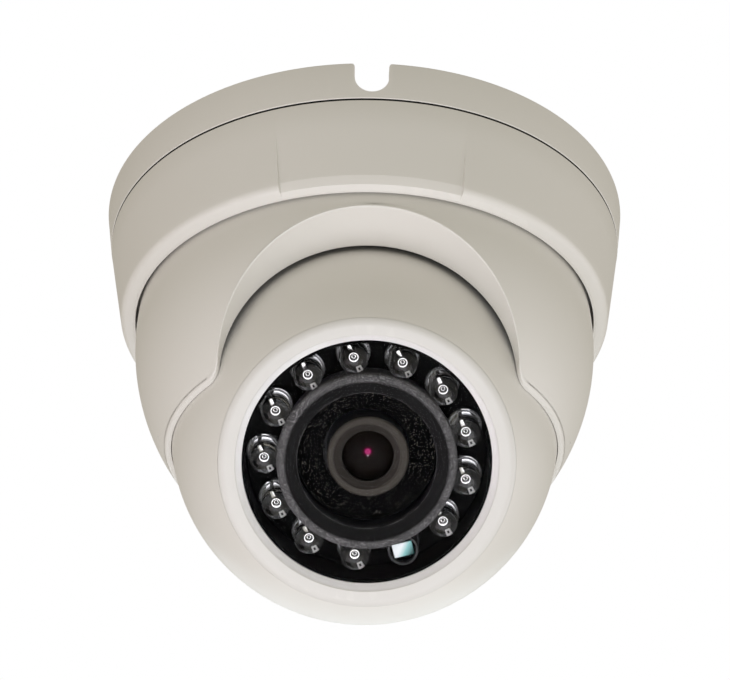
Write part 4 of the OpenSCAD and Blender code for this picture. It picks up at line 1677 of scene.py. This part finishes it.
@dataclass(frozen=True)
class LampRing:
    """All lamps, and the light sensor that takes one place among them."""

    lamp: Lamp = field(default_factory=Lamp)

    def build(self) -> None:
        """Makes every lamp and the sensor."""
        resin = RESIN.material()
        for count, place in enumerate(CIRCLE.lamp_places(), start=1):
            spot = EYE.matrix() @ CIRCLE.spot(place)
            body = self.lamp.resin(f"lamp_{count:02d}_body", spot)
            frame_part = self.lamp.leadframe(f"lamp_{count:02d}_leads", spot)
            deliver(body, Body.MODULE, resin, "lamp", f"ir_led_{count:02d}")
            deliver(frame_part, Body.MODULE, None, "steel")
        self.sensor()

    def sensor(self) -> None:
        """Makes the light sensor and its rubber sleeve."""
        spot = EYE.matrix() @ CIRCLE.spot(CIRCLE.sensor)
        sleeve = shaped(((2.25, 12.5, 0), (2.65, 12.5, 0), (2.65, 19.2, 0.12), (2.25, 19.2, 0.12)), 4)
        made = lathe("sensor_tube", sleeve, 64, spot, sharp=math.radians(50))
        deliver(made, Body.MODULE, SEAL_RUBBER_AND_SEAM_SHADE.material(), "black_rubber", "sensor_sleeve")
        section = rounded(((0, 12.5, 0), (2.2, 12.5, 0), (2.2, 18.3, 0.5), (0, 18.3, 0)), 6, closed=False)
        cell = lathe("sensor_body", mm(section), 64, spot, closed=False, sharp=math.radians(60))
        cell.data.materials.append(MASK_BLACK.material())
        face = block("sensor_filter", (3.5 * MM, 2.4 * MM, 0.5 * MM), (0, 0, 18.35 * MM), 0.08 * MM)
        face.data.transform(spot @ Matrix.Rotation(math.radians(15), 4, "Z"))
        face.data.materials.append(SensorFace("sensor_teal", spot).material())
        legs = []
        turn = spot @ Matrix.Rotation(math.radians(self.lamp.lead_turn), 4, "Z")
        for side in (-1, 1):
            stand = turn @ Matrix.Translation((side * self.lamp.leg_x * MM, 0, 0))
            leg = rod("leg", 0.3, self.lamp.leg_low, 12.6, stand, 24)
            leg.data.materials.append(LEADFRAME_METAL)
            legs.append(leg)
        deliver(joined("sensor_cell", [cell, face, *legs]), Body.MODULE, None, "sensor_face", "light_sensor")


# ---------------------------------------------------------------- lens


@dataclass(frozen=True)
class Lens:
    """The lens head: black barrel, metal cap ring and coated front glass. Sizes are in millimetres."""

    radius: float = 7.0
    bore_r: float = 4.48
    front: float = 18.2
    glass_centre: float = 6.5
    glass_r: float = 10.3
    aside: float = 0.25
    pupil_up: float = 0.6
    glint_up: float = -0.1

    def place(self) -> Matrix:
        """Returns the matrix that puts the lens head in its slightly loose seat."""
        return EYE.matrix() @ Matrix.Translation((self.aside * MM, 0, 0))

    def barrel(self) -> bpy.types.Object:
        """Makes the barrel."""
        shoulder = self.front - 1.2
        section = shaped(
            (
                (3.4, 3.4, 0), (4.2, 3.4, 0), (4.2, 1.0, 0.1), (5.9, 1.0, 0.2), (5.9, 10.2, 0),
                (self.radius, 10.2, 0.2), (self.radius, shoulder, 0.05), (5.4, shoulder, 0.05),
                (5.4, 13.2, 0), (3.4, 13.2, 0),
            )
        )
        return lathe("lens_tube", section, 128, self.place(), sharp=math.radians(50))

    def cap(self) -> bpy.types.Object:
        """Makes the stepped cap ring."""
        section = shaped(
            (
                (self.bore_r, self.front - 1.2, 0),
                (self.bore_r, self.front - 0.6, 0.06),
                (5.65, self.front - 0.16, 0.06),
                (5.8, self.front, 0.06),
                (self.radius - 0.3, self.front, 0.12),
                (self.radius, self.front - 0.3, 0.12),
                (self.radius, self.front - 1.2, 0),
            ),
            4,
        )
        return lathe("lens_cap", section, 160, self.place(), sharp=math.radians(50))

    def glass(self) -> bpy.types.Object:
        """Makes the front glass."""
        edge_r = 5.35
        rim_h = self.glass_centre + math.sqrt(self.glass_r**2 - edge_r**2)
        section = [(0.0, 13.25), (edge_r, 13.25), (edge_r, rim_h)]
        end = math.asin(edge_r / self.glass_r)
        section += arc((0, self.glass_centre), self.glass_r, end, 0.0, 24)[1:]
        return lathe("lens_front_glass", mm(section), 128, self.place(), closed=False, sharp=math.radians(40))

    def build(self) -> None:
        """Makes the lens head."""
        deliver(self.barrel(), Body.MODULE, FRAME_BLACK_AND_BOWL_SHADE.material(), "black_plastic", "lens_barrel")
        deliver(self.cap(), Body.MODULE, LENS_METAL.material(), "lens_ring", "lens_cap_ring")
        top = self.glass_centre + self.glass_r
        pupil = self.place() @ Vector((0, self.pupil_up * MM, top * MM))
        glint = self.place() @ Vector((0, self.glint_up * MM, top * MM))
        finish = CoatedLens("lens_coating", centre=pupil, glint_centre=glint, reach=5.2 * MM)
        deliver(self.glass(), Body.MODULE, finish.material(), "lens_glass", "front_lens")


# ---------------------------------------------------------------- inner works


@dataclass(frozen=True)
class InnerWorks:
    """Finishes for the frame's own parts, which stay as they are."""

    steel: tuple[str, ...] = (
        "lock_screw", "tilt_pins", "shell_screws", "retainer_screws", "frame_screws", "led_board_screws",
        "board_screws", "board_spacers",
    )
    boards: tuple[str, ...] = ("sensor_board", "main_board")
    seals: tuple[str, ...] = ("shell_gasket", "pivot_rings", "ball_gland")
    blacks: tuple[str, ...] = ("lens_holder", "lens_lock_nut", "module_frame", "filter_slider")

    def finishes(self) -> dict[str, bpy.types.Material]:
        """Returns the material of each part by its node's name."""
        groups: tuple[tuple[Sequence[str], bpy.types.Material], ...] = (
            (self.steel, STEEL.material()),
            (self.boards, BOARD.material()),
            (("led_board",), LAMP_BOARD.material()),
            (self.seals, GLAND_RUBBER.material()),
            (self.blacks, WORKS_BLACK.material()),
            (("pan_washer",), WASHER_GREY.material()),
            (("module_retainer",), INNER_WHITE.material()),
            (("video_processor",), PROCESSOR_BLACK.material()),
            (("heat_sink",), HEAT_METAL.material()),
            (("cable_header",), HEADER_IVORY.material()),
            (("filter_coil",), COPPER.material()),
            (("image_sensor",), SENSOR_CHIP.material()),
            (("rear_lens",), REAR_LENS.material()),
            (("filter_glass",), FILTER_BLUE.material()),
            (("clear_glass",), FILTER_CLEAR.material()),
        )
        return {name: material for names, material in groups for name in names}

    def build(self) -> None:
        """Gives each part its material."""
        for name, material in self.finishes().items():
            part = frame["nodes"][name]
            part.data.materials.clear()
            part.data.materials.append(material)
            LOG.info("%s keeps its shape, in %s", name, material.name)


# ---------------------------------------------------------------- studio


@dataclass(frozen=True)
class SoftLight:
    """One soft area light, aimed at a point. Lengths are in metres."""

    name: str
    place: tuple[float, float, float]
    size: tuple[float, float]
    power: float
    tone: Colour = (1.0, 1.0, 1.0)
    aim: tuple[float, float, float] = (0.0, 0.0, -0.03)

    def build(self) -> None:
        """Makes the light."""
        lamp = bpy.data.lights.new(self.name, "AREA")
        lamp.shape = "RECTANGLE"
        lamp.size, lamp.size_y = self.size
        lamp.energy = self.power
        lamp.color = self.tone
        made = bpy.data.objects.new(self.name, lamp)
        made.location = self.place
        made.rotation_euler = (Vector(self.aim) - Vector(self.place)).to_track_quat("-Z", "Y").to_euler()
        made.visible_camera = False
        bpy.context.scene.collection.objects.link(made)


@dataclass(frozen=True)
class Studio:
    """White studio: a pale floor far below, soft boxes and a camera that looks up from the front."""

    target: tuple[float, float, float] = (0.0, 0.0, -0.0259)
    distance: float = 0.650
    below: float = 34.42
    aside: float = 1.6
    lens: float = 179.3
    sensor: float = 36.0
    shift_x: float = 0.0007
    floor_h: float = -0.72
    ambient: float = 0.414
    ambient_tone: Colour = (1.0, 0.939, 0.774)
    lights: tuple[SoftLight, ...] = (
        SoftLight("under", (0.0, -0.22, -0.50), (0.62, 0.50), 1.69, (0.905, 0.912, 1.0)),
        SoftLight("low_left", (-0.45, -0.10, -0.42), (0.4, 0.4), 0.54, (1.0, 0.85, 0.95)),
        SoftLight("low_right", (0.45, -0.10, -0.42), (0.4, 0.4), 0.12, (1.0, 0.95, 0.8)),
        SoftLight("far_right", (0.55, 0.10, -0.22), (0.4, 0.4), 0.63, (0.929, 0.9, 1.0)),
        SoftLight("back", (0.0, 0.6, -0.1), (0.6, 0.5), 1.15, (0.815, 0.916, 1.0)),
    )

    def world(self) -> None:
        """Sets a white background whose light on the object is softer."""
        world = bpy.data.worlds.new("studio_world")
        bpy.context.scene.world = world
        world.use_nodes = True
        tree = world.node_tree
        tree.nodes.clear()
        path = tree.nodes.new("ShaderNodeLightPath")
        seen = tree.nodes.new("ShaderNodeBackground")
        felt = tree.nodes.new("ShaderNodeBackground")
        blend = tree.nodes.new("ShaderNodeMixShader")
        out = tree.nodes.new("ShaderNodeOutputWorld")
        seen.inputs[0].default_value = (1, 1, 1, 1)
        seen.inputs[1].default_value = 1.0
        felt.inputs[0].default_value = (*self.ambient_tone, 1)
        felt.inputs[1].default_value = self.ambient
        tree.links.new(path.outputs["Is Camera Ray"], blend.inputs[0])
        tree.links.new(felt.outputs[0], blend.inputs[1])
        tree.links.new(seen.outputs[0], blend.inputs[2])
        tree.links.new(blend.outputs[0], out.inputs[0])

    def floor(self) -> None:
        """Makes the pale floor, well below the object and outside the main view."""
        half = 3.0
        mesh = bpy.data.meshes.new("studio_floor")
        corners = [(-half, -half, 0), (half, -half, 0), (half, half, 0), (-half, half, 0)]
        mesh.from_pydata([Vector(c) for c in corners], [], [(0, 1, 2, 3)])
        made = new_object("studio_floor", mesh)
        made.location.z = self.floor_h
        shader = Shader("floor_pale")
        patches = shader.effect(EFFECTS.mottle, Scale=1.5, Contrast=0.6)
        shader.link(shader.mix(patches.outputs["Mask"], (0.86, 0.86, 0.86), (0.9, 0.9, 0.9)), "Base Color")
        shader.set(Roughness=0.7)
        made.data.materials.append(shader.material)

    def camera(self) -> None:
        """Places the camera below and in front of the object."""
        pitch, turn = math.radians(self.below), math.radians(self.aside)
        level = math.cos(pitch)
        away = Vector((-math.sin(turn) * level, -math.cos(turn) * level, -math.sin(pitch)))
        data = bpy.data.cameras.new("studio_camera")
        data.lens = self.lens
        data.sensor_width = self.sensor
        data.shift_x = self.shift_x
        data.clip_start, data.clip_end = 0.01, 20
        made = bpy.data.objects.new("studio_camera", data)
        made.location = Vector(self.target) + away * self.distance
        made.rotation_euler = (-away).to_track_quat("-Z", "Y").to_euler()
        bpy.context.scene.collection.objects.link(made)
        bpy.context.scene.camera = made

    def build(self) -> None:
        """Sets up the whole studio."""
        scene = bpy.context.scene
        scene.view_settings.view_transform = "Standard"
        scene.view_settings.look = "None"
        self.world()
        self.floor()
        self.camera()
        for light in self.lights:
            light.build()


def main() -> None:
    """Builds the object and its studio."""
    logging.basicConfig(level=logging.INFO, format="%(name)s: %(message)s")
    outside = (CeilingBase(), CoverRing(), TurningBowl(), Eyeball())
    inside = (CameraModule(), LampRing(), Lens(), InnerWorks())
    for part in outside + inside:
        LOG.info("building %s", type(part).__name__)
        part.build()
    Studio().build()


if __name__ == "__main__":
    main()
